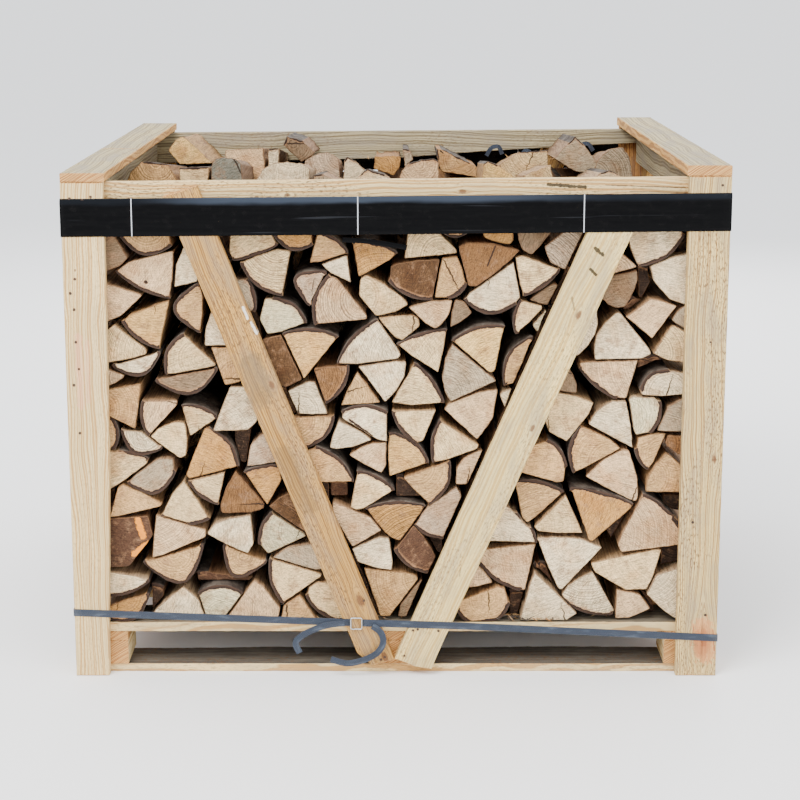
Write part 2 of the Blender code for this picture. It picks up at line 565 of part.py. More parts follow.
def row_body(name, upper, near_depth, far_depth, ends, mat):
    """One row of logs in one body: its outline from end to end, with the sawn ends standing out of one face.

    ends holds pairs of an outline and the depth of its end face, which is in front of near_depth.
    """
    under = FLOOR_TOP + FIT
    outline = [Vector((LOG_SPACE + 1, under)), Vector((-LOG_SPACE - 1, under))] + upper
    verts = list(outline)
    faces = [list(range(len(outline)))]
    for end, _ in ends:
        faces.append(list(range(len(verts), len(verts) + len(end))))
        verts += end
    out, _, triangles, sources, _, origins = delaunay_2d_cdt(verts, [], faces, 1, 1e-4)
    plain, _, far_triangles, plain_sources, _, _ = delaunay_2d_cdt(outline, [], faces[:1], 1, 1e-4)
    place = {source: i for i, found in enumerate(sources) for source in found}
    bm = bmesh.new()
    made = {}

    def corner(index, depth):
        key = (index, depth)
        if key not in made:
            made[key] = bm.verts.new(world(out[index].x, depth, out[index].y))
        return made[key]

    sides = {}
    for triangle, origin in zip(triangles, origins):
        raised = [f for f in origin if f > 0]
        depth = ends[raised[0] - 1][1] if raised else near_depth
        bm.faces.new([corner(i, depth) for i in triangle])
        for a, b in zip(triangle, triangle[1:] + triangle[:1]):
            sides.setdefault((min(a, b), max(a, b)), []).append(depth)
    for (a, b), depths in sides.items():
        if len(depths) == 1:
            depths = depths + [far_depth]
        if depths[0] != depths[1]:
            bm.faces.new([corner(a, depths[0]), corner(b, depths[0]), corner(b, depths[1]), corner(a, depths[1])])
    for triangle in far_triangles:
        bm.faces.new([corner(place[plain_sources[i][0]], far_depth) for i in triangle])
    return add_object(name, bm, mat)


def make_timber(pale, tan, weathered):
    """Posts, legs, rails, caps, braces and the slats of the ends."""
    back = (DEPTH - BOARD, DEPTH)
    inside = HALF_WIDTH - BOARD - FIT
    board("front_post_left", LEFT_POST, (0, BOARD), pale)
    block("front_post_right", (HALF_WIDTH - 75.5, HALF_WIDTH), (0, BOARD), (0, RIGHT_TOP), pale)
    block("back_post_left", (-HALF_WIDTH, POST_WIDTH - HALF_WIDTH), back, (0, LEFT_TOP), tan)
    block("back_post_right", (HALF_WIDTH - POST_WIDTH, HALF_WIDTH), back, (0, RIGHT_TOP), tan)
    for side, sign, top in (("left", -1, LEFT_TOP), ("right", 1, RIGHT_TOP)):
        x = sorted((sign * HALF_WIDTH, sign * (HALF_WIDTH - BOARD)))
        front_leg = (BOARD + FIT, BOARD + LEG_WIDTH)
        back_leg = (DEPTH - front_leg[1], DEPTH - front_leg[0])
        block(f"front_leg_{side}", x, front_leg, (0, top), pale)
        block(f"back_leg_{side}", x, back_leg, (0, top), tan)
        slat_x = sorted((sign * inside, sign * (inside - SLAT_THICKNESS)))
        slat_depth = (2 * BOARD + 1, DEPTH - 2 * BOARD - 1)
        top_low = RAIL_BOTTOM if sign < 0 else RAIL_BOTTOM + RAIL_RISE
        block(f"side_rail_{side}", slat_x, slat_depth, (top_low, top_low + 78), weathered)
        block(f"side_slat_{side}_upper", slat_x, slat_depth, UPPER_SLAT, weathered)
        block(f"side_slat_{side}_lower", slat_x, slat_depth, LOWER_SLAT, weathered)
    rail_end = inside - 0.2
    front_rail = [(-rail_end, RAIL_BOTTOM), (rail_end, RAIL_BOTTOM + RAIL_RISE), (rail_end, 938.5), (-rail_end, 929)]
    board("front_rail", front_rail, (BOARD + FIT, 2 * BOARD), pale)
    back_rail = [(-rail_end, 856), (0, 868), (200, 884), (rail_end, 905), (rail_end, 937), (-rail_end, 928)]
    board("back_rail", back_rail, (DEPTH - 2 * BOARD, DEPTH - BOARD - FIT), weathered)
    cap_low = LEFT_TOP + FIT
    left_x = (-HALF_WIDTH, CAP_WIDTH - HALF_WIDTH)
    cap_z = (cap_low, cap_low + CAP_THICKNESS)
    block("cap_left_front", left_x, (0, CAP_JOINT), cap_z, weathered)
    block("cap_left_back", left_x, (CAP_JOINT + 1, DEPTH), cap_z, weathered)
    right_low = RIGHT_TOP + FIT
    right_z = (right_low, right_low + RIGHT_CAP_THICKNESS)
    block("cap_right", (HALF_WIDTH - CAP_WIDTH, HALF_WIDTH), (0, DEPTH), right_z, weathered)
    board("brace_left", LEFT_BRACE, (0, BOARD), tan)
    board("brace_right", RIGHT_BRACE, (0, BOARD), pale)
    board("back_brace_left", [(-x, z) for x, z in RIGHT_BRACE], back, pale)
    board("back_brace_right", [(-x, z) for x, z in LEFT_BRACE], back, tan)


def make_base(pale, tan, weathered):
    """Boards on the ground, blocks, stringers, the centre runner and the floor boards."""
    low = BOARD + 2 * FIT
    high = DEPTH - low
    edge = HALF_WIDTH - BOARD - 1
    waney = [(-edge, low), (edge, low), (edge, 106), (300, 110), (60, 103), (-240, 108), (-430, 101), (-edge, 105)]
    flat_board("ground_board_front", waney, (0, GROUND_BOARD), weathered)
    block("ground_board_middle", (-edge, edge), (476, 564), (0, GROUND_BOARD), weathered)
    flat_board("ground_board_back", [(x, DEPTH - d) for x, d in waney], (0, GROUND_BOARD), weathered)
    block("centre_runner", (-38, 38), (low, high), (GROUND_BOARD + FIT, RUNNER_TOP), tan)
    middle = (DEPTH - BLOCK_LENGTH) / 2
    depths = {"front": low, "middle": middle, "back": high - BLOCK_LENGTH}
    columns = {"left": -edge, "centre": -BLOCK_WIDTH / 2, "right": edge - BLOCK_WIDTH}
    for side, x in columns.items():
        across = (x, x + BLOCK_WIDTH)
        foot = (RUNNER_TOP if side == "centre" else GROUND_BOARD) + FIT
        for place, depth in depths.items():
            block(f"block_{side}_{place}", across, (depth, depth + BLOCK_LENGTH), (foot, BLOCK_TOP), pale)
        block(f"stringer_{side}", across, (low, high), (BLOCK_TOP + FIT, STRINGER_TOP), tan)
    step = (high - low - FLOOR_BOARD_WIDTH) / (FLOOR_BOARDS - 1)
    for i in range(FLOOR_BOARDS):
        start = low + i * step
        floor = (STRINGER_TOP + FIT, FLOOR_TOP)
        block(f"floor_board_{i + 1}", (-edge, edge), (start, start + FLOOR_BOARD_WIDTH), floor, tan)


def make_logs(beech):
    """The three rows and the logs that lie loose on the last one."""
    rng = random.Random(7)
    overhead = {name: from_pixels(outline, BACK_TOP_END) for name, outline in LOOSE.items()}
    overhead = {name: hull(points) for name, points in overhead.items()}
    parted = part_outlines(list(overhead.values()), 0, LOG_GAP)
    front = whole_row(seed=3)
    raised = [(simplified(end, 5), start + rng.uniform(0, UNEVEN)) for end, start in front]
    upper = skyline([end for end, start in front if start == BEHIND_RAIL], [], TOP_LAYER_BASE, above=6.0)
    row_body("log_row_front", upper, ROW_STARTS[0] + GAP_DEPTH, ROW_ENDS[0], raised, beech)
    middle_tops = [hull(from_pixels(outline, MIDDLE_TOP_END)) for outline in TOP_MIDDLE.values()]
    row_body("log_row_middle", skyline(middle_tops, [], TOP_LAYER_BASE), ROW_STARTS[1], ROW_ENDS[1], [], beech)
    back_tops = [hull(from_pixels(outline, BACK_TOP_END)) for outline in TOP_BACK.values()]
    upper = skyline(back_tops, parted, SKYLINE_LOWEST + 4)
    back = [end for end, start in whole_row(seed=5, steps=1) if start != BEHIND_RAIL]
    raised = [(simplified(end, 12), ROW_ENDS[2] - rng.uniform(0, UNEVEN)) for end in back]
    row_body("log_row_back", upper, ROW_ENDS[2] - GAP_DEPTH, ROW_STARTS[2], raised, beech)
    for name, end in zip(overhead, parted):
        board(name, [tuple(p) for p in end], (BACK_TOP_END, BACK_TOP_END + LOOSE_LENGTH), beech, eased=False)


def belt(name, width, thickness, front_heights, back_heights, mat):
    """A closed band round the crate. The heights are pairs of x and the z of its middle, from left to right."""
    loops = []
    for layer in (FIT, FIT + thickness):
        x_end = HALF_WIDTH + layer
        scaled = x_end / HALF_WIDTH
        path = [(x * scaled, -layer, z) for x, z in front_heights]
        path += [(x * scaled, DEPTH + layer, z) for x, z in reversed(back_heights)]
        loops.append(path)
    bm = bmesh.new()
    rings = []
    for path, rise in ((loops[0], -0.5), (loops[0], 0.5), (loops[1], 0.5), (loops[1], -0.5)):
        rings.append([bm.verts.new(world(x, depth, z + rise * width)) for x, depth, z in path])
    for ring, following in zip(rings, rings[1:] + rings[:1]):
        for i in range(len(ring)):
            j = (i + 1) % len(ring)
            bm.faces.new([ring[i], ring[j], following[j], following[i]])
    return add_object(name, bm, mat)


def smoothed(route, total):
    """A smooth line through a route's points, with at least the given number of points."""
    count = math.ceil((total - 1) / (len(route) - 1))
    points = [route[0]] + list(route) + [route[-1]]
    line = []
    for before, here, following, after in zip(points, points[1:], points[2:], points[3:]):
        for i in range(count):
            t = i / count
            line.append([
                b + (c - a) * t / 2 + (2 * a - 5 * b + 4 * c - d) * t * t / 2 + (3 * b - a - 3 * c + d) * t ** 3 / 2
                for a, b, c, d in zip(before, here, following, after)
            ])
    return line + [route[-1]]


def ribbon(name, route, width, thickness, mat):
    """A flat loose end along points of x, depth and z, flat towards the front."""
    bm = bmesh.new()
    sections = []
    spots = [world(*point) for point in smoothed(route, ROUTE_POINTS)]
    out = Vector((0, -thickness * MM, 0))
    for i, spot in enumerate(spots):
        along = spots[min(i + 1, len(spots) - 1)] - spots[max(i - 1, 0)]
        across = Vector((along.z, 0, -along.x)).normalized() * width / 2 * MM
        corners = [spot - across, spot + across, spot + across + out, spot - across + out]
        sections.append([bm.verts.new(p) for p in corners])
    for a, b in zip(sections, sections[1:]):
        for i in range(4):
            j = (i + 1) % 4
            bm.faces.new([a[i], a[j], b[j], b[i]])
    bm.faces.new(sections[0])
    bm.faces.new(sections[-1])
    return add_object(name, bm, mat)


BAND_FRONT = [(-600, 867), (0, 872), (600, 878)]
BAND_BACK = [(-600, 866), (600, 877)]
STRAP_FRONT = [(-600, 124.8), (-104, 106), (117, 98.9), (600, 75)]
STRAP_BACK = [(-600, 120), (600, 82)]
BAND_TAIL = [(-96, 4, 827), (-50, 5, 824), (-10, 6, 818), (20, 8, 812)]
STRAP_TAIL_LEFT = [(-96, -2.4, 105), (-130, -4, 101), (-165, -6, 88), (-187, -7, 70), (-180, -7, 48)]
STRAP_TAIL_RIGHT = [(-44, -2.4, 99), (-28, -5, 87), (-24, -8, 68), (-36, -9, 48), (-62, -8, 34), (-92, -6, 27),
                    (-122, -5, 35)]
ROUTE_POINTS = 16
BUCKLE_X = (-85.5, -62.5)
BUCKLE_Z = (92.0, 116.0)
WIRE = 2.4


def make_ties(film, webbing, steel):
    belt("film_band", 69, FILM, BAND_FRONT, BAND_BACK, film)
    ribbon("band_tail", BAND_TAIL, 9, 1.0, film)
    belt("strap", 13.7, STRAP, STRAP_FRONT, STRAP_BACK, webbing)
    ribbon("strap_tail_left", STRAP_TAIL_LEFT, 12, 0.9, webbing)
    ribbon("strap_tail_right", STRAP_TAIL_RIGHT, 12, 0.9, webbing)
    bm = bmesh.new()
    outer = [(BUCKLE_X[0], BUCKLE_Z[0]), (BUCKLE_X[1], BUCKLE_Z[0]), (BUCKLE_X[1], BUCKLE_Z[1]),
             (BUCKLE_X[0], BUCKLE_Z[1])]
    inner = [(x + WIRE * (1 if x == BUCKLE_X[0] else -1), z + WIRE * (1 if z == BUCKLE_Z[0] else -1))
             for x, z in outer]
    rings = []
    for corners, depth in ((outer, -BUCKLE_PROUD), (outer, -1.6), (inner, -1.6), (inner, -BUCKLE_PROUD)):
        rings.append([bm.verts.new(world(x, depth, z)) for x, z in corners])
    for ring, following in zip(rings, rings[1:] + rings[:1]):
        for i in range(4):
            j = (i + 1) % 4
            bm.faces.new([ring[i], ring[j], following[j], following[i]])
    add_object("buckle", bm, steel)


clear_scene()
bpy.context.scene.collection.children.link(bpy.data.collections.new(OBJECT))
pale_timber = material("pale timber", (0.74, 0.62, 0.43), 0.75)
tan_timber = material("tan timber", (0.62, 0.47, 0.29), 0.75)
weathered_timber = material("weathered timber", (0.55, 0.51, 0.41), 0.85)
beech_wood = material("beech logs", (0.72, 0.58, 0.46), 0.8)
black_film = material("black film", (0.012, 0.012, 0.014), 0.25)
blue_webbing = material("blue strap", (0.10, 0.14, 0.20), 0.6)
steel_wire = material("steel wire", (0.62, 0.62, 0.60), 0.35, 1.0)

make_timber(pale_timber, tan_timber, weathered_timber)
make_base(pale_timber, tan_timber, weathered_timber)
make_logs(beech_wood)
make_ties(black_film, blue_webbing, steel_wire)
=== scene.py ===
"""The looks of a wooden crate of split beech firewood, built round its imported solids.

X runs to the right along the front, Y from the front to the back and Z up. The tables are in millimetres and
repeat the ones that the part is built from. Depths are measured from the outer face of the front posts. The
outline of a log is the shape of its sawn end, seen from the front. A corner with a third value starts a bark
side, which stands out by that much at its middle.
"""

import math
import random

import bmesh
import bpy
import numpy as np
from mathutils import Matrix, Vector, noise
from mathutils.geometry import convex_hull_2d

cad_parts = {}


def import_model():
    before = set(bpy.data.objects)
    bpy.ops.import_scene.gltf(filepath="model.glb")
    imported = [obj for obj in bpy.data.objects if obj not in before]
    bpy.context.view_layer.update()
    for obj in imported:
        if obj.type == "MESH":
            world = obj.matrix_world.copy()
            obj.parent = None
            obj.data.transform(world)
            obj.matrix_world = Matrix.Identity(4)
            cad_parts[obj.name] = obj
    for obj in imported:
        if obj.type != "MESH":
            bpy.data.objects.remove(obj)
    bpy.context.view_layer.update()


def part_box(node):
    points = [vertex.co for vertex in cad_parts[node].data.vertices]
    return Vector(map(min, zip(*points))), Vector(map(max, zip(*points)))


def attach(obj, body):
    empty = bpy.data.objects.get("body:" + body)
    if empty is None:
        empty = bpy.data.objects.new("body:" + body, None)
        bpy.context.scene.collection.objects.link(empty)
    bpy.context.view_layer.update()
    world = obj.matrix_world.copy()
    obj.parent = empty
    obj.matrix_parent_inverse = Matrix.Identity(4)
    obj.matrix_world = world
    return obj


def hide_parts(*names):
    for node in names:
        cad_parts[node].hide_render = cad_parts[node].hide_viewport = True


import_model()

MM = 0.001

# The crate, as far as the frame's own nodes don't give it
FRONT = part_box("front_post_left")[0][1]
HALF_WIDTH = 600.0
DEPTH = 1040.0
BOARD = 20.0
FIT = 0.3

# The rows of logs
LOG_SPACE = 557.0
LOG_FLOOR = 98.8
UNDER_RAIL = 846.0
ROW_STARTS = (24.0, 358.0, 690.0)
ROW_ENDS = (350.0, 682.0, 1016.0)
DEEPER = 24.0
UNEVEN = 9.0
BEHIND_RAIL = 44.0
LOG_GAP = 2.2
SMALLEST_END = 260.0
SMALLEST_FILL = 110.0

# The photograph's camera, for the loose logs that are placed by the pixels of their outlines
EYE_X = -12.0
EYE_HEIGHT = 1333.0
EYE_DISTANCE = 3060.0
MM_PER_PIXEL = 1.849
VANISHING_X = 390.0
VANISHING_Y = -36.0

# Colours of the wood's sawn ends, as seen in soft daylight
TONES = {
    "umber": (88, 62, 46), "brown": (132, 94, 58), "russet": (88, 62, 38), "orange": (194, 146, 84),
    "tan": (208, 168, 116), "ochre": (214, 172, 110), "cream": (230, 200, 152), "white": (234, 214, 178),
    "pink": (220, 186, 146), "salmon": (204, 164, 112), "grey": (178, 160, 134), "mauve": (198, 174, 148),
    "green": (216, 204, 166), "dusk": (134, 112, 88), "yellow": (226, 188, 122),
    # The darkest tone is painted shade, for logs deep in the gaps
    "painted_shade": (66, 50, 40), "slate": (122, 122, 112),
}

# The tone of each log in LOGS, in its order
LOG_TONES = (
    "umber white orange tan pink cream white tan white green "
    "pink tan cream grey white cream pink tan tan cream "
    "orange cream brown pink ochre cream white pink cream dusk "
    "tan white salmon white tan dusk pink white green russet "
    "grey cream tan cream pink white salmon orange mauve white "
    "tan tan white white pink ochre cream orange green mauve "
    "cream cream orange tan white orange pink cream russet ochre "
    "white brown tan white grey umber mauve dusk tan pink "
    "pink white cream cream tan pink pink white pink dusk "
    "cream cream yellow grey cream white cream tan russet cream "
    "tan brown orange tan dusk cream mauve dusk green white "
    "white white cream pink white pink orange cream tan tan "
    "cream tan white pink tan green grey brown tan white "
    "white pink cream grey pink white dusk pink dusk white "
    "white"
).split()

LOGS = [
    [(-556, 299), (-500, 299), (-462, 306), (-454, 265), (-463, 251), (-500, 204), (-556, 200)],
    [(-462, 178, 12), (-556, 151), (-556, 199), (-480, 186)],
    [(-464, 152, 34), (-556, 112), (-541, 128), (-500, 143)],
    [(-475, 216, -62), (-360, 250), (-400, 234), (-430, 222), (-456, 217)],
    [(-457, 217), (-352, 263), (-350, 282), (-390, 285), (-440, 299), (-447, 312)],
    [(-438, 304, 14), (-347, 300), (-368, 335), (-393, 373), (-415, 350)],
    [(-355, 270), (-338, 290), (-310, 300), (-270, 306), (-265, 250), (-277, 229), (-320, 250)],
    [(-322, 248, -52), (-242, 214), (-262, 222), (-277, 228)],
    [(-400, 165), (-450, 122), (-470, 98), (-357, 98), (-360, 115), (-372, 140)],
    [(-284, 149, 18), (-374, 150), (-359, 100), (-331, 99), (-316, 113)],
    [(-329, 98), (-316, 112), (-283, 148), (-278, 170), (-266, 177), (-250, 166), (-217, 122), (-222, 98)],
    [(-535, 298), (-437, 321), (-434, 328), (-470, 350), (-507, 365), (-516, 362), (-531, 305)],
    [(-460, 413, 4), (-556, 437), (-556, 340), (-531, 351), (-500, 371), (-475, 391), (-460, 401)],
    [(-498, 369, 32), (-409, 390), (-412, 415), (-440, 415), (-475, 392)],
    [(-507, 470, 32), (-432, 434), (-470, 466)],
    [(-455, 455), (-400, 412), (-388, 418), (-385, 450), (-388, 483), (-410, 484), (-440, 471)],
    [(-466, 523, 8), (-456, 457), (-430, 485), (-402, 516), (-402, 525)],
    [(-556, 542), (-468, 556), (-474, 510), (-481, 467), (-528, 494), (-556, 505)],
    [(-524, 428, 10), (-524, 491), (-556, 485), (-556, 430)],
    [(-328, 489, 10), (-396, 513), (-390, 485), (-382, 452)],
    [(-291, 399, 12), (-345, 474), (-354, 472), (-380, 410), (-390, 382), (-384, 373), (-330, 388)],
    [(-385, 372, 8), (-330, 327), (-316, 390)],
    [(-298, 390), (-244, 326), (-246, 316), (-272, 308), (-325, 307), (-328, 322), (-318, 355)],
    [(-556, 752), (-527, 741), (-465, 723), (-463, 718), (-502, 681), (-528, 671), (-556, 664)],
    [(-499, 674, 9), (-432, 623), (-420, 680), (-411, 714), (-450, 698), (-485, 686)],
    [(-556, 640), (-528, 650), (-514, 668), (-456, 622), (-456, 609), (-500, 600), (-556, 590)],
    [(-522, 592, -34), (-431, 618), (-455, 610)],
    [(-556, 600), (-529, 590), (-498, 572), (-500, 567), (-528, 546), (-556, 535)],
    [(-388, 649, 16), (-421, 573), (-375, 577), (-327, 590), (-345, 605)],
    [(-441, 562, 38), (-326, 588), (-375, 577), (-428, 570)],
    [(-358, 743, 46), (-357, 653), (-351, 690), (-351, 726)],
    [(-350, 627), (-300, 627), (-300, 690), (-338, 690), (-349, 655)],
    [(-341, 626), (-290, 626), (-262, 600), (-285, 560), (-300, 556), (-316, 553), (-326, 590)],
    [(-308, 552), (-262, 552), (-240, 545), (-256, 484), (-272, 468), (-342, 466), (-312, 520)],
    [(-499, 832, 26), (-407, 813), (-410, 845), (-499, 845)],
    [(-556, 845), (-515, 845), (-503, 812), (-485, 790), (-500, 775), (-528, 765), (-556, 762)],
    [(-509, 766, 9), (-412, 716), (-405, 760), (-403, 804), (-440, 791), (-485, 783)],
    [(-404, 735), (-360, 745), (-350, 810), (-385, 810), (-400, 778)],
    [(-230, 309, 8), (-256, 248), (-239, 227), (-190, 252), (-166, 261), (-172, 271), (-200, 288)],
    [(-238, 321), (-172, 271), (-150, 285), (-160, 330), (-198, 347), (-218, 338)],
    [(-231, 222), (-205, 243), (-150, 252), (-130, 200), (-150, 197), (-198, 211)],
    [(-235, 220, 10), (-212, 132), (-175, 157), (-140, 182), (-138, 192), (-200, 211)],
    [(-218, 99), (-212, 128), (-181, 151), (-170, 130), (-150, 104), (-148, 99)],
    [(-168, 148, 8), (-118, 102), (-95, 102), (-110, 172), (-150, 176), (-163, 165)],
    [(-118, 335), (-90, 328), (-56, 314), (-25, 275), (-82, 241), (-120, 310)],
    [(-84, 240), (-58, 252), (-30, 262), (-12, 261), (-5, 210), (-8, 195), (-35, 200), (-72, 212)],
    [(-62, 203), (-8, 193), (20, 193), (38, 187), (43, 178), (10, 133), (-12, 104), (-30, 104)],
    [(-215, 400, 6), (-281, 388), (-239, 324), (-211, 374)],
    [(-277, 398), (-268, 420), (-270, 440), (-250, 460), (-235, 466), (-200, 455), (-200, 410), (-255, 400)],
    [(-200, 542), (-182, 498), (-123, 493), (-148, 559), (-160, 560), (-180, 552)],
    [(-165, 436, 14), (-114, 500), (-123, 493), (-190, 497), (-200, 460)],
    [(-79, 369, 12), (-148, 436), (-175, 425), (-160, 367)],
    [(-106, 487), (-62, 466), (-44, 449), (-80, 435), (-112, 431), (-123, 434), (-119, 455)],
    [(-16, 503, 13), (-99, 503), (-100, 490), (-85, 486), (-36, 450), (-16, 447)],
    [(-88, 420), (-68, 434), (-45, 444), (-16, 446), (-17, 402), (-26, 384), (-55, 399)],
    [(60, 405, 16), (-13, 462), (-16, 420), (-12, 378)],
    [(-3, 353, 8), (-72, 390), (-87, 312), (-58, 318), (-32, 338)],
    [(55, 322, 10), (-56, 318), (-25, 275), (-8, 260), (8, 254), (33, 288)],
    [(-164, 669, 12), (-222, 716), (-239, 716), (-250, 676), (-236, 647), (-212, 651), (-188, 664)],
    [(-126, 765, -46), (-157, 702), (-150, 720), (-140, 742)],
    [(-281, 782, 14), (-206, 722), (-190, 803), (-215, 808), (-250, 796)],
    [(-296, 787, 6), (-214, 816), (-230, 845), (-300, 845), (-303, 800)],
    [(-219, 832, 18), (-151, 815), (-152, 845), (-219, 845)],
    [(-88, 799, 6), (-130, 834), (-143, 834), (-157, 780), (-138, 782), (-112, 795)],
    [(-137, 778), (-88, 796), (-81, 743), (-100, 753), (-122, 763)],
    [(2, 798, 8), (-79, 819), (-68, 754), (-50, 763), (-10, 786)],
    [(-122, 758, 14), (-147, 667), (-120, 672), (-53, 677), (-52, 684), (-108, 754)],
    [(-65, 752), (-68, 720), (-36, 682), (0, 690), (23, 704), (15, 716), (0, 727), (-20, 742), (-53, 759)],
    [(-245, 640), (-209, 648), (-190, 605), (-171, 564), (-202, 549), (-235, 560)],
    [(-103, 642, 13), (-208, 648), (-169, 563), (-150, 583), (-140, 603)],
    [(-33, 676, 12), (-107, 592), (-75, 591), (-30, 597), (5, 602), (10, 610), (0, 628), (-20, 650)],
    [(-130, 520, 12), (-87, 590), (-152, 586)],
    [(-71, 579), (-27, 519), (-102, 514), (-92, 540)],
    [(-70, 588), (0, 599), (20, 597), (15, 560), (0, 540), (-20, 520)],
    [(-258, 690, 6), (-270, 750), (-300, 750), (-300, 690)],
    [(33, 288), (47, 272), (66, 242), (75, 225), (60, 194, 10), (-3, 240), (10, 256)],
    [(88, 260, 6), (35, 285), (50, 312), (58, 322), (80, 333), (113, 360), (123, 342)],
    [(20, 103), (3, 103), (8, 128), (25, 152), (45, 175), (50, 178)],
    [(212, 135, 12), (165, 97, 12), (115, 122), (122, 142), (150, 150), (192, 168), (205, 164)],
    [(133, 163), (150, 165), (182, 173), (170, 186), (165, 197), (155, 207), (149, 207)],
    [(153, 216, 10), (232, 158), (243, 157), (252, 200), (262, 248), (165, 238), (158, 232)],
    [(262, 251, 8), (225, 308), (205, 325), (198, 322), (168, 254)],
    [(38, 444, 8), (-6, 505), (75, 508), (66, 485), (50, 447)],
    [(82, 487, 9), (70, 406), (98, 411), (150, 430), (155, 440), (110, 468)],
    [(98, 411, 16), (62, 327), (35, 353), (12, 379)],
    [(110, 363), (133, 363), (162, 430), (150, 428), (125, 415), (112, 395)],
    [(88, 507), (95, 518), (150, 541), (188, 546), (180, 490), (160, 460), (150, 448), (97, 498)],
    [(190, 535), (200, 511), (204, 518), (213, 548), (195, 542)],
    [(22, 700), (60, 711), (104, 713), (98, 688), (85, 668), (72, 659), (50, 672), (33, 688)],
    [(108, 714), (125, 710), (140, 688), (120, 672), (99, 661), (101, 690)],
    [(-33, 680), (-10, 683), (35, 685), (43, 678), (44, 663), (12, 636), (-2, 642), (-28, 672)],
    [(93, 657, 6), (2, 630), (30, 607), (78, 576), (88, 620)],
    [(198, 664, 12), (103, 637), (172, 576), (182, 580), (190, 625)],
    [(103, 632), (140, 600), (172, 574), (186, 562), (150, 548), (100, 522), (90, 540), (84, 565), (90, 605)],
    [(88, 519, 8), (31, 596), (22, 572), (12, 548), (-12, 520), (30, 514)],
    [(125, 713, 22), (218, 705), (228, 718), (222, 745), (214, 787), (165, 750), (140, 733)],
    [(228, 712, 8), (220, 649), (243, 668), (268, 695), (268, 702), (245, 706)],
    [(250, 643, 22), (200, 552), (216, 555), (235, 600)],
    [(-12, 748, 10), (66, 714), (74, 750), (81, 788), (40, 786), (5, 781), (-10, 775)],
    [(15, 788), (80, 794), (112, 798), (110, 806), (85, 826), (70, 845), (22, 845)],
    [(128, 742, 5), (97, 716), (70, 716), (75, 752), (83, 790), (112, 793), (122, 770)],
    [(115, 800), (113, 812), (130, 820), (180, 818), (228, 806), (213, 790), (152, 738), (131, 738)],
    [(154, 840), (160, 826), (183, 816), (207, 813), (214, 822), (213, 840)],
    [(85, 838, 9), (130, 838), (120, 845), (95, 845)],
    [(218, 845), (222, 820), (228, 805), (242, 796), (248, 796), (262, 811), (288, 845)],
    [(297, 770, 8), (232, 722), (224, 745), (216, 792), (228, 796), (262, 783)],
    [(268, 810), (290, 827), (312, 845), (343, 845), (308, 768), (300, 770), (279, 781)],
    [(243, 712), (262, 705), (277, 702), (296, 740), (285, 743), (264, 729), (248, 718)],
    [(249, 665), (256, 654), (260, 652), (275, 695), (268, 682), (258, 676)],
    [(262, 262), (300, 264), (350, 261), (388, 245), (362, 216), (312, 160), (304, 161), (284, 205)],
    [(232, 99), (243, 140), (252, 178), (262, 198), (281, 176), (308, 138), (345, 116), (320, 99)],
    [(308, 145, 12), (405, 110), (412, 118), (395, 142), (382, 165), (369, 195), (345, 184), (322, 168)],
    [(364, 212), (400, 218), (488, 240), (497, 238), (480, 175), (470, 159), (430, 158), (372, 193)],
    [(413, 160), (448, 153), (460, 148), (480, 120), (455, 108), (440, 101), (411, 100)],
    [(484, 188), (525, 202), (556, 210), (556, 100), (523, 103), (500, 120), (468, 152)],
    [(455, 348, 8), (527, 285), (556, 270), (556, 250), (455, 250), (421, 232), (413, 247), (430, 297)],
    [(440, 328, 6), (324, 358), (360, 254), (366, 254), (410, 297), (436, 318)],
    [(316, 346), (349, 270), (300, 270), (264, 274), (256, 283), (288, 315)],
    [(312, 348, 10), (220, 368), (226, 340), (234, 300), (240, 287), (248, 290), (265, 303)],
    [(312, 370), (298, 368), (262, 378), (227, 388), (250, 440), (280, 450, 8), (315, 400)],
    [(272, 490), (282, 464), (303, 452), (317, 445), (340, 477), (355, 495), (365, 520), (330, 535),
     (292, 541)],
    [(330, 386, 14), (340, 475), (350, 473), (395, 452), (418, 432), (412, 428), (375, 407)],
    [(354, 479), (366, 500), (378, 513), (398, 524), (424, 524), (434, 478), (439, 432), (395, 456)],
    [(351, 378), (385, 413), (410, 429), (432, 430), (440, 405), (449, 375), (452, 330), (440, 330),
     (400, 350)],
    [(468, 392, 5), (444, 430), (448, 454), (472, 461), (500, 462), (489, 437), (478, 405)],
    [(470, 463, 8), (486, 522), (470, 535), (440, 537), (428, 528), (438, 470), (442, 458)],
    [(481, 466), (494, 492), (500, 512), (527, 528), (556, 535), (556, 464), (498, 465)],
    [(498, 440), (502, 458), (556, 455), (556, 420), (523, 420), (512, 435)],
    [(462, 350), (466, 378), (482, 405), (502, 425), (522, 405), (556, 380), (556, 349)],
    [(323, 607), (335, 610), (352, 628), (364, 648), (369, 668), (367, 692), (362, 707)],
    [(364, 599), (362, 622), (366, 648), (381, 670), (403, 690), (411, 688), (466, 620), (470, 611),
     (450, 601)],
    [(419, 681), (438, 690), (455, 706), (464, 716), (486, 711), (513, 702), (474, 650), (468, 640)],
    [(470, 613), (488, 642), (499, 662), (510, 668), (527, 650), (556, 640), (556, 592), (498, 600)],
    [(503, 674), (513, 692), (526, 702), (556, 700), (556, 655), (526, 656), (515, 669)],
    [(405, 527, 6), (338, 585), (336, 596), (400, 598), (445, 600), (437, 572), (425, 527)],
    [(500, 581, 12), (450, 545), (452, 529), (523, 534), (556, 537), (556, 572), (523, 576)],
    [(293, 542), (333, 537), (333, 555), (325, 575), (314, 590), (311, 585)],
    [(391, 760), (437, 772), (438, 776), (425, 785), (413, 797), (407, 800)],
    [(389, 757), (438, 768), (440, 752), (436, 735), (426, 713), (417, 700), (402, 697), (386, 704),
     (370, 720)],
    [(521, 833, 14), (442, 776), (436, 780), (424, 808), (418, 830), (424, 845), (515, 845)],
    [(461, 775), (482, 781), (502, 793), (556, 804), (556, 706), (526, 703), (498, 713), (467, 748)],
]
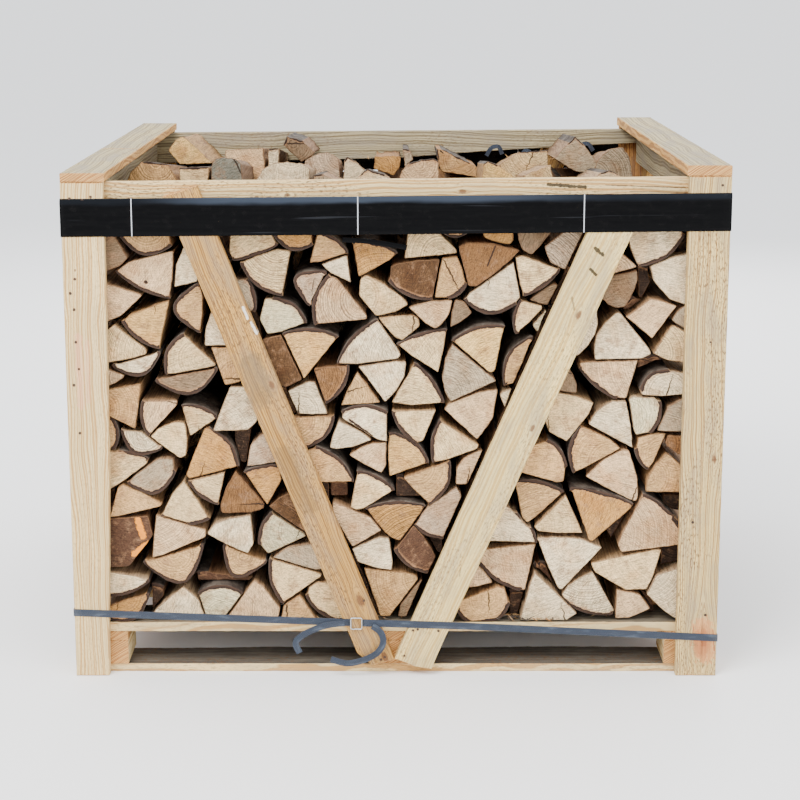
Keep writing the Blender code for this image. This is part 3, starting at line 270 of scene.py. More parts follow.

# Logs deep in the gaps, which fit in what the others leave; their dark tone is painted shade
FILL = [
    [(-375, 150), (-270, 150), (-270, 185), (-330, 190), (-375, 185)],
    [(-300, 400), (-255, 400), (-255, 480), (-300, 480)],
    [(-128, 336), (-90, 336), (-90, 367), (-128, 367)],
    [(52, 272), (88, 264), (88, 225), (70, 225)],
    [(0, 335), (50, 335), (30, 372), (0, 376)],
    [(392, 275), (405, 250), (445, 325), (435, 320), (410, 298)],
    [(416, 690), (424, 706), (440, 718), (462, 714), (436, 690)],
    [(442, 775), (461, 770), (466, 740), (446, 700)],
    [(497, 190), (556, 190), (556, 250), (497, 250)],
    [(500, 312), (556, 300), (556, 346), (500, 346)],
    [(213, 100), (240, 100), (243, 150), (213, 150)],
    [(262, 205), (280, 205), (296, 166), (262, 200)],
    [(445, 580), (490, 600), (480, 604), (447, 600)],
]
BRACE_FILL_LENGTH = 84.0
BRACE_FILL_HALF_WIDTH = 40.0

# Slanting braces: corners of the two boards on the front
LEFT_BRACE = [(-417.7, 905), (-73, 44.4), (-45, 20), (-2.8, 31.4), (-355.6, 925.3)]
RIGHT_BRACE = [(-3, 33), (35.1, 17.6), (67, 12.2), (80, 46.2), (452, 901), (371, 905)]
LEFT_POST = [(-600, 0), (-538, 0), (-536, 102), (-526, 434), (-523, 832), (-523, 931), (-600, 931)]

# Logs on top of the middle row and the back row, and the loose ones, by the pixels of their sawn ends in the
# photograph
TOP_MIDDLE = {
    "shredded": [(136, 180), (140, 168), (153, 158), (165, 160), (178, 161), (187, 180)],
    "lens": [(187, 164), (219, 163), (216, 178), (200, 177)],
    "grey_dome": [(215, 180), (216, 164), (222, 156), (230, 154), (240, 155), (247, 160), (249, 180)],
    "white_dome": [(259, 180), (268, 165), (278, 160), (292, 158), (305, 160), (315, 165), (307, 180)],
    "grey_flat": [(312, 180), (316, 171), (325, 170), (345, 180)],
    "white_wedge": [(351, 180), (362, 170), (368, 165), (385, 171), (395, 180)],
    "pink_dome": [(397, 180), (400, 168), (408, 160), (420, 156), (432, 155), (437, 158), (437, 180)],
    "yellow_wedge": [(477, 180), (479, 160), (483, 157), (492, 161), (505, 169), (515, 180)],
    "pale_wedge": [(518, 180), (519, 171), (545, 161), (547, 180)],
    "pale_flat": [(580, 180), (592, 169), (600, 166), (608, 169), (622, 180)],
}
TOP_BACK = {
    "pink_block": [(230, 154), (232, 146), (268, 144), (270, 168), (255, 177), (240, 177)],
    "blue_white": [(272, 176), (272, 145), (283, 144), (284, 172)],
    "bark_dome": [(305, 172), (307, 156), (320, 149), (330, 148), (340, 153), (342, 172)],
    "small_white": [(344, 174), (345, 156), (348, 152), (355, 156), (366, 166), (366, 176)],
    "cream_slab": [(492, 172), (494, 160), (505, 156), (513, 148), (541, 146), (541, 168)],
    "bark_ridge": [(584, 172), (586, 158), (592, 151), (600, 145), (612, 143), (619, 153), (622, 172)],
}
LOOSE = {
    "tan_log": [(187, 161), (176, 147), (184, 136), (191, 133), (205, 145), (219, 160)],
    "bark_log": [(286, 142), (290, 133), (305, 137), (318, 150), (304, 159), (296, 151)],
    "orange_log": [(373, 165), (374, 152), (400, 152), (399, 163), (393, 172)],
    "grey_log": [(434, 155), (433, 145), (440, 146), (465, 158), (475, 164), (474, 174), (438, 168)],
    "pale_log": [(400, 145), (408, 146), (412, 156), (403, 164), (402, 150)],
    "split_log": [(546, 155), (560, 139), (566, 133), (574, 140), (590, 160), (582, 170), (566, 168)],
}
BACK_TOP_END = 700.0
LOOSE_LENGTH = 290.0


# Camera and cords


def world(x, depth, z):
    return Vector((x * MM, FRONT + depth * MM, z * MM))


# The scene's camera has a small shift in place of the photograph's large one
LENS = 78.93
LENS_SHIFT = -0.14
CAMERA_PLACE = (7.5, -3110.0, 1304.4)
CAMERA_PITCH = 10.29


def make_camera():
    """A camera in front of the crate, a little above it."""
    data = bpy.data.cameras.new("camera")
    data.sensor_width = 36.0
    data.lens = LENS
    data.shift_y = LENS_SHIFT
    item = link(bpy.data.objects.new("camera", data))
    item.location = world(*CAMERA_PLACE)
    item.rotation_euler = (math.radians(90 - CAMERA_PITCH), 0, 0)
    bpy.context.scene.camera = item


def smoothed(route, total):
    """A smooth line through a route's points, with at least the given number of points."""
    count = math.ceil((total - 1) / (len(route) - 1))
    points = [route[0]] + list(route) + [route[-1]]
    line = []
    for before, here, following, after in zip(points, points[1:], points[2:], points[3:]):
        for i in range(count):
            t = i / count
            line.append([
                b + (c - a) * t / 2 + (2 * a - 5 * b + 4 * c - d) * t * t / 2
                + (3 * b - a - 3 * c + d) * t ** 3 / 2
                for a, b, c, d in zip(before, here, following, after)
            ])
    return line + [route[-1]]


ROUTE_POINTS = 16
BAND_TAIL = [(-96, 4, 827), (-50, 5, 824), (-10, 6, 818), (20, 8, 812)]
STRAP_TAIL_LEFT = [(-96, -2.4, 105), (-130, -4, 101), (-165, -6, 88), (-187, -7, 70), (-180, -7, 48)]
STRAP_TAIL_RIGHT = [(-44, -2.4, 99), (-28, -5, 87), (-24, -8, 68), (-36, -9, 48), (-62, -8, 34),
                    (-92, -6, 27), (-122, -5, 35)]


def link(item):
    bpy.context.scene.collection.objects.link(item)
    return item


def new_mesh(name, verts, faces, materials):
    mesh = bpy.data.meshes.new(name)
    mesh.from_pydata(verts, [], faces)
    for made in materials:
        mesh.materials.append(made)
    return mesh


def settled(name, mesh, nodes=()):
    """A mesh as a piece of the crate, in place of the nodes that it stands for."""
    item = link(bpy.data.objects.new(name, mesh))
    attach(item, "root")
    if nodes:
        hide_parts(*nodes)
    return item


def smooth_all(mesh):
    mesh.polygons.foreach_set("use_smooth", [True] * len(mesh.polygons))


def store(mesh, name, values, field="vector"):
    """Gives each point of a mesh a vector or a colour for its material to read."""
    kind = {"vector": "FLOAT_VECTOR", "color": "FLOAT_COLOR"}[field]
    layer = mesh.attributes.new(name, kind, "POINT")
    layer.data.foreach_set(field, np.array(values, dtype=np.float32).ravel())


def tube(base, rows, size):
    """The faces round a tube, whose points lie in rows one after another."""
    faces = []
    for start in range(base, base + (rows - 1) * size, size):
        for j in range(size):
            k = (j + 1) % size
            faces.append([start + j, start + k, start + size + k, start + size + j])
    return faces


def ribbon(name, route, width, thickness, material, node):
    """A flat loose end along a route, with a crease down its middle."""
    spots = [world(*point) for point in smoothed(route, ROUTE_POINTS)]
    out = Vector((0, -1, 0))
    verts = []
    lengths = [0.0]
    for a, b in zip(spots, spots[1:]):
        lengths.append(lengths[-1] + (b - a).length)
    profile = [(-1, 0), (-0.5, 0.25), (0, 0.35), (0.5, 0.25), (1, 0)]
    ring = profile + [(s, lift + 1) for s, lift in reversed(profile)]
    for i, spot in enumerate(spots):
        along = spots[min(i + 1, len(spots) - 1)] - spots[max(i - 1, 0)]
        across = Vector((along.z, 0, -along.x)).normalized()
        for s, lift in ring:
            verts.append(spot + across * s * width / 2 * MM + out * (lift - 0.35) * thickness * MM)
    size = len(ring)
    faces = tube(0, len(spots), size)
    faces.append(list(range(size)))
    faces.append([(len(spots) - 1) * size + j for j in range(size)])
    mesh = new_mesh(name, verts, faces, [material])
    layer = mesh.uv_layers.new(name="weave")
    for loop in mesh.loops:
        i, j = divmod(loop.vertex_index, size)
        layer.data[loop.index].uv = (lengths[i], ring[j][0] * width / 2 * MM)
    face_outwards(mesh)
    item = settled(name, mesh, [node])
    return item


def face_outwards(mesh):
    bm = bmesh.new()
    bm.from_mesh(mesh)
    bmesh.ops.recalc_face_normals(bm, faces=bm.faces)
    bm.to_mesh(mesh)
    bm.free()


# Shader helpers


def srgb(colour):
    """A colour of 0 to 255 as the linear values that a shader takes."""
    shares = [c / 255 for c in colour]
    return tuple(c / 12.92 if c <= 0.04045 else ((c + 0.055) / 1.055) ** 2.4 for c in shares) + (1.0,)


def feed(tree, value, socket):
    """Joins a value to a socket where it is another node's output, or else sets it."""
    if isinstance(value, bpy.types.NodeSocket):
        tree.links.new(value, socket)
    else:
        socket.default_value = value


def add(tree, kind, inputs=None, **settings):
    """Adds a shader node, sets its properties, and fills or joins its inputs."""
    made = tree.nodes.new("ShaderNode" + kind)
    for name, value in settings.items():
        setattr(made, name, value)
    for key, value in (inputs or {}).items():
        feed(tree, value, made.inputs[key])
    return made


def maths(tree, operation, a, b=0.0, c=0.0):
    return add(tree, "Math", {0: a, 1: b, 2: c}, operation=operation).outputs[0]


def times(tree, a, b):
    return maths(tree, "MULTIPLY", a, b)


def times_plus(tree, a, b, c):
    return maths(tree, "MULTIPLY_ADD", a, b, c)


def plus(tree, a, b):
    return maths(tree, "ADD", a, b)


def minus(tree, a, b):
    return maths(tree, "SUBTRACT", a, b)


def ratio(tree, a, b):
    return maths(tree, "DIVIDE", a, b)


def size_of(tree, value):
    return maths(tree, "ABSOLUTE", value)


def centred(tree, value):
    """A value of 0 to 1 as one of -0.5 to 0.5."""
    return minus(tree, value, 0.5)


def swung(tree, value, amount, about):
    """A value about another, moved to both sides of it by a noise."""
    return times_plus(tree, centred(tree, value), amount, about)


def vector_maths(tree, operation, a, b=(0, 0, 0)):
    made = add(tree, "VectorMath", {0: a, 1: b}, operation=operation)
    return made.outputs["Value" if operation in ("LENGTH", "DISTANCE", "DOT_PRODUCT") else "Vector"]


def scaled(tree, vector, factors):
    return vector_maths(tree, "MULTIPLY", vector, factors)


def carried(tree, name):
    """The outputs of an attribute that the mesh carries."""
    return add(tree, "Attribute", attribute_name=name).outputs


def split(tree, vector):
    return add(tree, "SeparateXYZ", {0: vector}).outputs


def joined(tree, x, y, z):
    return add(tree, "CombineXYZ", {0: x, 1: y, 2: z}).outputs[0]


def grain_noise(tree, vector, scale=1.0, detail=2.0, rough=0.5):
    inputs = {"Vector": vector, "Scale": scale, "Detail": detail, "Roughness": rough}
    return add(tree, "TexNoise", inputs).outputs["Fac"]


def stretched_noise(tree, place, factors, detail=2.0, rough=0.5):
    """Noise over a place, finer in a direction the larger its factor is."""
    return grain_noise(tree, scaled(tree, place, factors), 1.0, detail, rough)


def line_noise(tree, value, detail=1.0):
    """Noise along one value only, for lines of uneven width and spacing."""
    return add(tree, "TexNoise", {"W": value, "Scale": 1.0, "Detail": detail},
               noise_dimensions="1D").outputs["Fac"]


def step(tree, value, low, high, to_low=0.0, to_high=1.0):
    """A smooth step from one value to another while the input goes from low to high."""
    inputs = {"Value": value, "From Min": low, "From Max": high, "To Min": to_low, "To Max": to_high}
    return add(tree, "MapRange", inputs, interpolation_type="SMOOTHSTEP").outputs[0]


def mixed(tree, factor, a, b, blend="MIX"):
    made = add(tree, "Mix", data_type="RGBA", blend_type=blend, clamp_result=True)
    for place, value in ((0, factor), (6, a), (7, b)):
        feed(tree, value, made.inputs[place])
    return made.outputs[2]


def brightened(tree, colour, value):
    """A colour times a factor that changes over the surface."""
    return scaled(tree, colour, joined(tree, value, value, value))


def group(name, inputs, outputs):
    """A new node group with named sockets. Returns its tree, its inputs and its output node."""
    tree = bpy.data.node_groups.new(name, "ShaderNodeTree")
    kinds = {"value": "NodeSocketFloat", "colour": "NodeSocketColor", "vector": "NodeSocketVector"}
    for socket, kind in inputs.items():
        tree.interface.new_socket(socket, in_out="INPUT", socket_type=kinds[kind])
    for socket, kind in outputs.items():
        tree.interface.new_socket(socket, in_out="OUTPUT", socket_type=kinds[kind])
    return tree, tree.nodes.new("NodeGroupInput").outputs, tree.nodes.new("NodeGroupOutput")


def use(tree, made, **inputs):
    """Places a node group in a material, with its inputs filled by name."""
    node = tree.nodes.new("ShaderNodeGroup")
    node.node_tree = made
    for key, value in inputs.items():
        feed(tree, value, node.inputs[key.replace("_", " ")])
    return node.outputs


def finish_group(tree, end, values):
    for key, value in values.items():
        tree.links.new(value, end.inputs[key])
    return tree


def surface(name, roughness=0.8, **constants):
    """A new material with its tree and its Principled shader."""
    made = bpy.data.materials.new(name)
    made.use_nodes = True
    shader = made.node_tree.nodes["Principled BSDF"]
    shader.inputs["Roughness"].default_value = roughness
    for key, value in constants.items():
        shader.inputs[key.replace("_", " ")].default_value = value
    return made, made.node_tree, shader


def paint(tree, shader, colour):
    tree.links.new(colour, shader.inputs["Base Color"])


def bump(tree, shader, height, distance):
    made = add(tree, "Bump", {"Height": height, "Distance": distance, "Strength": 1.0})
    tree.links.new(made.outputs[0], shader.inputs["Normal"])


# Node groups


def make_blotches():
    """Soft uneven shading of wood: a factor about 1 from large and small patches."""
    tree, given, end = group("blotches", {"Place": "vector", "Amount": "value"}, {"Factor": "value"})
    wide = stretched_noise(tree, given["Place"], (16, 16, 16), 3.0, 0.6)
    fine = stretched_noise(tree, given["Place"], (70, 40, 70), 4.0, 0.65)
    both = plus(tree, times(tree, wide, 1.2), times(tree, fine, 0.8))
    off = minus(tree, both, 1.0)
    factor = times_plus(tree, off, given["Amount"], 1.0)
    return finish_group(tree, end, {"Factor": factor})


def make_saw_marks():
    """Fine uneven lines left by a saw, along the first direction of the place."""
    tree, given, end = group("saw marks", {"Place": "vector", "Spacing": "value"}, {"Line": "value"})
    x, _, z = split(tree, given["Place"])
    bent = times_plus(tree, times(tree, x, x), 1.8, z)
    wobble = stretched_noise(tree, given["Place"], (30, 30, 30), 1.0)
    bent = times_plus(tree, wobble, 0.003, bent)
    lines = line_noise(tree, ratio(tree, bent, given["Spacing"]), 2.0)
    patch = stretched_noise(tree, given["Place"], (45, 45, 45))
    shown = step(tree, patch, 0.35, 0.65)
    line = times(tree, centred(tree, lines), shown)
    return finish_group(tree, end, {"Line": line})


def make_knot():
    """A knot at a place on a board: how far it pushes the grain aside, and a mask for its middle."""
    tree, given, end = group("knot", {"Place": "vector", "Centre": "vector", "Size": "value"},
                             {"Push": "value", "Mask": "value"})
    away = vector_maths(tree, "SUBTRACT", given["Place"], given["Centre"])
    flat = scaled(tree, away, (0.55, 1, 0.25))
    near = ratio(tree, vector_maths(tree, "LENGTH", flat), given["Size"])
    fall = maths(tree, "POWER", 2.718, times(tree, times(tree, near, near), -0.35))
    side = split(tree, away)[1]
    sign = minus(tree, step(tree, side, -0.004, 0.004), 0.5)
    push = times(tree, times(tree, sign, fall), given["Size"])
    push = times(tree, push, 1.7)
    edge = stretched_noise(tree, given["Place"], (260, 260, 260), 1.0)
    mask = step(tree, times_plus(tree, edge, 0.5, near), 1.25, 0.75)
    return finish_group(tree, end, {"Push": push, "Mask": mask})


def make_grain():
    """The face of a sawn board: growth lines along it, fine fibres, weathering and small stains."""
    sockets = {"Place": "vector", "Pale": "colour", "Dark": "colour", "Spacing": "value", "Grey": "value",
               "Specks": "value"}
    tree, given, end = group("sawn grain", sockets, {"Colour": "colour", "Height": "value"})
    _, y, z = split(tree, given["Place"])
    sway = stretched_noise(tree, given["Place"], (2.6, 7, 7))
    sway = times(tree, centred(tree, sway), 0.05)
    small = stretched_noise(tree, given["Place"], (22, 60, 60))
    ring = plus(tree, plus(tree, y, sway), times(tree, z, 0.4))
    ring = times_plus(tree, small, 0.004, ring)
    lines = line_noise(tree, ratio(tree, ring, given["Spacing"]), 0.0)
    late = step(tree, lines, 0.47, 0.58)
    fibre = stretched_noise(tree, given["Place"], (14, 620, 620), 3.0, 0.6)
    shade = plus(tree, times(tree, late, 0.75), times(tree, fibre, 0.4))
    colour = mixed(tree, shade, given["Pale"], given["Dark"])
    patch = stretched_noise(tree, given["Place"], (5, 14, 14), 4.0, 0.65)
    colour = brightened(tree, colour, step(tree, patch, 0.25, 0.75, 0.86, 1.1))
    worn = stretched_noise(tree, given["Place"], (7, 26, 26), 5.0, 0.7)
    worn = times(tree, step(tree, worn, 0.4, 0.68), given["Grey"])
    colour = mixed(tree, worn, colour, srgb((142, 132, 116)))
    spots = stretched_noise(tree, given["Place"], (130, 420, 420), 3.0)
    spots = times(tree, step(tree, spots, 0.51, 0.64), given["Specks"])
    colour = mixed(tree, times(tree, spots, step(tree, patch, 0.4, 0.6)), colour, srgb((104, 76, 50)))
    rough = stretched_noise(tree, given["Place"], (60, 400, 400))
    height = plus(tree, times(tree, late, -0.35), plus(tree, fibre, rough))
    return finish_group(tree, end, {"Colour": colour, "Height": height})


# Wood of the logs


PAINT = (246, 150, 40)
CRACK = (52, 36, 26)

# Marks on the front logs: from and to in x and z, half width, colour
MARKS = [
    ((-481, 297), (-472, 264), 6.5, PAINT),
    ((-463, 250), (-489, 230), 6.5, PAINT),
    ((-455, 745), (-454, 745), 3.6, CRACK),
    ((-85, 488), (-44, 458), 2.6, CRACK),
    ((180, 812), (166, 776), 1.6, CRACK),
]
MARKED_LOGS = (0, 36, 53, 101)


def make_stroke():
    """A ragged stroke on the front, between two places given by the object's own x and z in millimetres."""
    sockets = {"Start": "vector", "End": "vector", "Half Width": "value"}
    tree, given, end = group("stroke", sockets, {"Mask": "value"})
    spot = scaled(tree, add(tree, "TexCoord").outputs["Object"], (1000, 0, 1000))
    away = vector_maths(tree, "SUBTRACT", spot, given["Start"])
    way = vector_maths(tree, "SUBTRACT", given["End"], given["Start"])
    along = vector_maths(tree, "DOT_PRODUCT", away, way)
    share = ratio(tree, along, vector_maths(tree, "DOT_PRODUCT", way, way))
    share = add(tree, "Clamp", {0: share}).outputs[0]
    closest = vector_maths(tree, "MULTIPLY", joined(tree, share, share, share), way)
    gap = vector_maths(tree, "LENGTH", vector_maths(tree, "SUBTRACT", away, closest))
    ragged = stretched_noise(tree, spot, (0.14, 0.14, 0.14), 5.0, 0.7)
    gap = times_plus(tree, ragged, 2.4, ratio(tree, gap, given["Half Width"]))
    return finish_group(tree, end, {"Mask": step(tree, gap, 2.3, 1.9)})


def stroke_mask(tree, stroke, start, end, half_width):
    """One stroke's mask, from and to points given as (x, z)."""
    return use(tree, stroke, Start=(start[0], 0.0, start[1]), End=(end[0], 0.0, end[1]),
               Half_Width=half_width)["Mask"]


def make_sawn_end(saw_marks, blotches, stroke, name="sawn beech end", strokes=()):
    """End grain of beech: rings and rays round the heart, saw marks, cracks, a dark line of bark widened by
    painted shade, and a dark edge line of dirt and painted shade.
    """
    made, tree, shader = surface(name, 0.85, Specular_IOR_Level=0.25)
    place = carried(tree, "log_place")["Vector"]
    painted = carried(tree, "log_tone")
    tone = painted["Color"]
    marks = split(tree, carried(tree, "log_marks")["Vector"])
    x, y, z = split(tree, place)
    flat = joined(tree, x, 0.0, z)
    warp = stretched_noise(tree, place, (38, 38, 38))
    radius = times_plus(tree, warp, 0.006, vector_maths(tree, "LENGTH", flat))
    rings = line_noise(tree, ratio(tree, radius, 0.0026), 1.0)
    rings = step(tree, rings, 0.42, 0.6)
    ring_depth = times_plus(tree, painted["Alpha"], -0.45, -0.16)
    angle = maths(tree, "ARCTAN2", z, x)
    rays = grain_noise(tree, joined(tree, times(tree, angle, 34.0), times(tree, radius, 45.0), y))
    saw = use(tree, saw_marks, Place=place, Spacing=0.0021)["Line"]
    scratch = stretched_noise(tree, place, (120, 90, 620), 2.0, 0.6)
    shade = use(tree, blotches, Place=place, Amount=0.5)["Factor"]
    colour = brightened(tree, tone, shade)
    warm = stretched_noise(tree, place, (21, 21, 21))
    colour = mixed(tree, step(tree, warm, 0.45, 0.75, 0.0, 0.45), colour, srgb((208, 172, 128)), "MULTIPLY")
    cool = stretched_noise(tree, place, (33, 29, 33), 3.0)
    colour = brightened(tree, colour, step(tree, cool, 0.5, 0.75, 1.0, 1.14))
    dirt = stretched_noise(tree, place, (52, 40, 52), 5.0, 0.7)
    colour = mixed(tree, step(tree, dirt, 0.5, 0.68, 0.0, 0.6), colour, srgb((146, 110, 80)))
    colour = brightened(tree, colour, times_plus(tree, rings, ring_depth, 1.07))
    colour = brightened(tree, colour, step(tree, scratch, 0.32, 0.58, 0.62, 1.1))
    colour = brightened(tree, colour, swung(tree, rays, 0.55, 1.0))
    colour = brightened(tree, colour, times_plus(tree, saw, 1.4, 1.0))
    pores = stretched_noise(tree, place, (560, 560, 560))
    colour = brightened(tree, colour, step(tree, pores, 0.34, 0.56, 0.78, 1.07))
    wander = grain_noise(tree, joined(tree, times(tree, z, 90.0), y, 0.0))
    aside = swung(tree, wander, 0.009, x)
    reach = minus(tree, marks[1], size_of(tree, z))
    width = times(tree, reach, 0.035)
    crack = step(tree, minus(tree, size_of(tree, aside), width), 0.0004, -0.0002)
    crack = times(tree, crack, step(tree, reach, 0.0, 0.004))
    colour = mixed(tree, times(tree, crack, 0.9), colour, srgb((48, 34, 26)))
    edge = swung(tree, cool, 0.0035, marks[0])
    inner = step(tree, edge, 0.0095, 0.0055)
    colour = mixed(tree, times(tree, inner, 0.4), colour, srgb((176, 128, 88)))
    # The dark line of bark is drawn wider than the bark itself; the rest of it is painted shade beside it
    layers = step(tree, maths(tree, "SINE", times(tree, edge, 2600.0)), -0.3, 0.6)
    uneven = swung(tree, dirt, 0.012, edge)
    rim = step(tree, uneven, 0.0052, 0.0042)
    colour = mixed(tree, rim, colour, mixed(tree, layers, srgb((22, 16, 14)), srgb((64, 46, 36))))
    # A dark line round every edge of the end: dirt on the sawn edge, and painted shade where the end meets
    # the gaps
    ragged = swung(tree, dirt, 0.006, marks[2])
    outer = step(tree, ragged, 0.0026, 0.0006)
    colour = mixed(tree, times(tree, outer, 0.75), colour, srgb((70, 50, 38)))
    for start, end, half_width, stain in strokes:
        colour = mixed(tree, stroke_mask(tree, stroke, start, end, half_width), colour, srgb(stain))
    paint(tree, shader, colour)
    height = plus(tree, times(tree, saw, 1.6), times(tree, rays, 0.5))
    height = plus(tree, height, plus(tree, times(tree, pores, 0.5), scratch))
    height = minus(tree, height, times(tree, crack, 3.0))
    bump(tree, shader, height, 0.0013)
    return made


def make_split_side(blotches):
    """The torn fibres of a split side, along the log, darkened throughout by weathering and by painted shade
    of the gaps.
    """
    made, tree, shader = surface("split beech side", 0.9, Specular_IOR_Level=0.2)
    place = carried(tree, "log_place")["Vector"]
    tone = carried(tree, "log_tone")["Color"]
    fibre = stretched_noise(tree, place, (420, 9, 420), 4.0, 0.65)
    strand = stretched_noise(tree, place, (130, 5, 130), 3.0, 0.6)
    shade = use(tree, blotches, Place=place, Amount=0.4)["Factor"]
    # Mixed towards brown and dimmed by 0.72 all over: weathered colour, and painted shade of the gaps where
    # these sides are mostly seen
    colour = mixed(tree, 0.6, tone, srgb((170, 126, 88)))
    colour = brightened(tree, colour, times(tree, shade, 0.72))
    colour = brightened(tree, colour, step(tree, fibre, 0.3, 0.65, 0.55, 1.15))
    colour = mixed(tree, step(tree, strand, 0.48, 0.7, 0.0, 0.7), colour, srgb((104, 72, 50)))
    paint(tree, shader, colour)
    bump(tree, shader, plus(tree, fibre, strand), 0.0018)
    return made


def make_bark(blotches):
    """Thin grey beech bark with pale lichen, dark marks and cross wrinkles."""
    made, tree, shader = surface("beech bark", 0.92, Specular_IOR_Level=0.2)
    place = carried(tree, "log_place")["Vector"]
    patch = stretched_noise(tree, place, (34, 20, 34), 4.0, 0.6)
    fleck = stretched_noise(tree, place, (90, 70, 90), 5.0, 0.7)
    wrinkle = stretched_noise(tree, place, (55, 260, 55), 3.0)
    colour = mixed(tree, step(tree, patch, 0.35, 0.65), srgb((50, 40, 34)), srgb((92, 82, 72)))
    colour = mixed(tree, step(tree, fleck, 0.54, 0.72, 0.0, 0.5), colour, srgb((126, 120, 108)))
    colour = mixed(tree, step(tree, fleck, 0.44, 0.34, 0.0, 0.7), colour, srgb((60, 48, 42)))
    shade = use(tree, blotches, Place=place, Amount=0.3)["Factor"]
    colour = brightened(tree, colour, shade)
    paint(tree, shader, colour)
    height = plus(tree, times(tree, wrinkle, 0.7), plus(tree, fleck, patch))
    bump(tree, shader, height, 0.0016)
    return made


# Outlines of the logs, as in the part's own source


def centre(points):
    return sum((Vector(p[:2]) for p in points), Vector((0, 0))) / len(points)


def hull(points):
    order = convex_hull_2d([Vector(p[:2]) for p in points])
    return [Vector(points[i][:2]) for i in order]


def bark_arcs(corners, steps):
    """The bark sides of a log's outline, as lines of points."""
    middle = centre(corners)
    arcs = []
    for here, following in zip(corners, corners[1:] + corners[:1]):
        if len(here) == 3:
            a = Vector(here[:2])
            b = Vector(following[:2])
            across = Vector((b.y - a.y, a.x - b.x)).normalized()
            if across.dot((a + b) / 2 - middle) < 0:
                across = -across
            spots = [i / (steps + 1) for i in range(steps + 2)]
            arcs.append([a.lerp(b, t) + across * here[2] * math.sin(math.pi * t) for t in spots])
    return arcs


def log_end(corners, steps):
    return hull([Vector(p[:2]) for p in corners] + [p for arc in bark_arcs(corners,
                                                                           steps) for p in arc[1:-1]])


def clip(polygon, normal, limit):
    """The part of a convex outline on the side of a line where normal . p is at most limit."""
    kept = []
    for a, b in zip(polygon, polygon[1:] + polygon[:1]):
        from_a = normal.dot(a) - limit
        from_b = normal.dot(b) - limit
        if from_a <= 0:
            kept.append(a)
        if (from_a < 0 < from_b) or (from_b < 0 < from_a):
            kept.append(a.lerp(b, from_a / (from_a - from_b)))
    return kept


def widest_gap(a, b):
    """The direction from a to b in which the two outlines are furthest apart, and their facing limits."""
    best = None
    for outline, sign in ((a, 1), (b, -1)):
        for p, q in zip(outline, outline[1:] + outline[:1]):
            edge = q - p
            if edge.length < 1e-6:
                continue
            normal = Vector((edge.y, -edge.x)).normalized() * sign
            if normal.dot(centre(outline) - p) * sign > 0:
                normal = -normal
            reach = max(normal.dot(v) for v in a)
            start = min(normal.dot(v) for v in b)
            if best is None or start - reach > best[2] - best[1]:
                best = (normal, reach, start)
    return best


def bounds(polygon):
    xs = [p.x for p in polygon]
    zs = [p.y for p in polygon]
    return min(xs), max(xs), min(zs), max(zs)


def near(a, b, gap):
    a0, a1, a2, a3 = bounds(a)
    b0, b1, b2, b3 = bounds(b)
    return a0 - gap < b1 and b0 - gap < a1 and a2 - gap < b3 and b2 - gap < a3


def part_outlines(first, fixed_count, gap):
    """Trims outlines until each keeps the gap to the others. The fixed ones share it, the rest give way."""
    for i in range(len(first)):
        for j in range(i + 1, len(first)):
            if not first[i] or not first[j] or not near(first[i], first[j], gap):
                continue
            normal, reach, start = widest_gap(first[i], first[j])
            if start - reach >= gap:
                continue
            if j >= fixed_count > i:
                first[j] = clip(first[j], -normal, -(reach + gap))
            else:
                middle = (reach + start) / 2
                first[i] = clip(first[i], normal, middle - gap / 2)
                first[j] = clip(first[j], -normal, -(middle + gap / 2))
            for k in (i, j):
                if len(first[k]) < 3:
                    first[k] = []
    return first


def turning(polygon):
    """Twice an outline's area, below zero where it runs clockwise."""
    return sum(a.x * b.y - b.x * a.y for a, b in zip(polygon, polygon[1:] + polygon[:1]))


def area(polygon):
    return abs(turning(polygon)) / 2


def brace_fill(outline):
    """Log ends in a chain behind a brace, from its foot to its head, to be given a dark tone as painted
    shade.
    """
    foot = centre(outline[1:4]) if outline is LEFT_BRACE else centre(outline[0:4])
    head = (Vector(outline[0]) + Vector(outline[4])) / 2 if outline is LEFT_BRACE else centre(outline[4:6])
    along = (head - foot).normalized()
    side = Vector((along.y, -along.x)) * BRACE_FILL_HALF_WIDTH
    ends = []
    for i in range(int((head - foot).length / BRACE_FILL_LENGTH)):
        a = foot + along * (i * BRACE_FILL_LENGTH + 40)
        b = a + along * (BRACE_FILL_LENGTH - 3)
        ends.append([a - side, a + side, b + side, b - side])
    return ends


def hidden_course(seed):
    """The uppermost course, behind the band and the rail: blocks and wedges side by side."""
    rng = random.Random(seed)
    ends = []
    x = -LOG_SPACE
    while x < LOG_SPACE - 40:
        width = min(rng.uniform(74, 104), LOG_SPACE - x)
        low = UNDER_RAIL + 3
        high = rng.uniform(*HIDDEN_TOPS)
        lean = rng.uniform(-10, 10)
        ends.append([Vector((x + 3, low)), Vector((x + width - 3, low)), Vector((x + width - 2, high - 16)),
                     Vector((x + width * 0.62 + lean, high)), Vector((x + width * 0.3 + lean, high - 2)),
                     Vector((x + 2, high - 14))])
        x += width
    return ends


def from_pixels(outline, depth):
    """An outline in the photograph's pixels as x and z at a depth."""
    scale = MM_PER_PIXEL * (EYE_DISTANCE + depth) / EYE_DISTANCE
    return [Vector(((px - VANISHING_X) * scale + EYE_X, EYE_HEIGHT - (py - VANISHING_Y) * scale))
            for px, py in outline]


# The logs


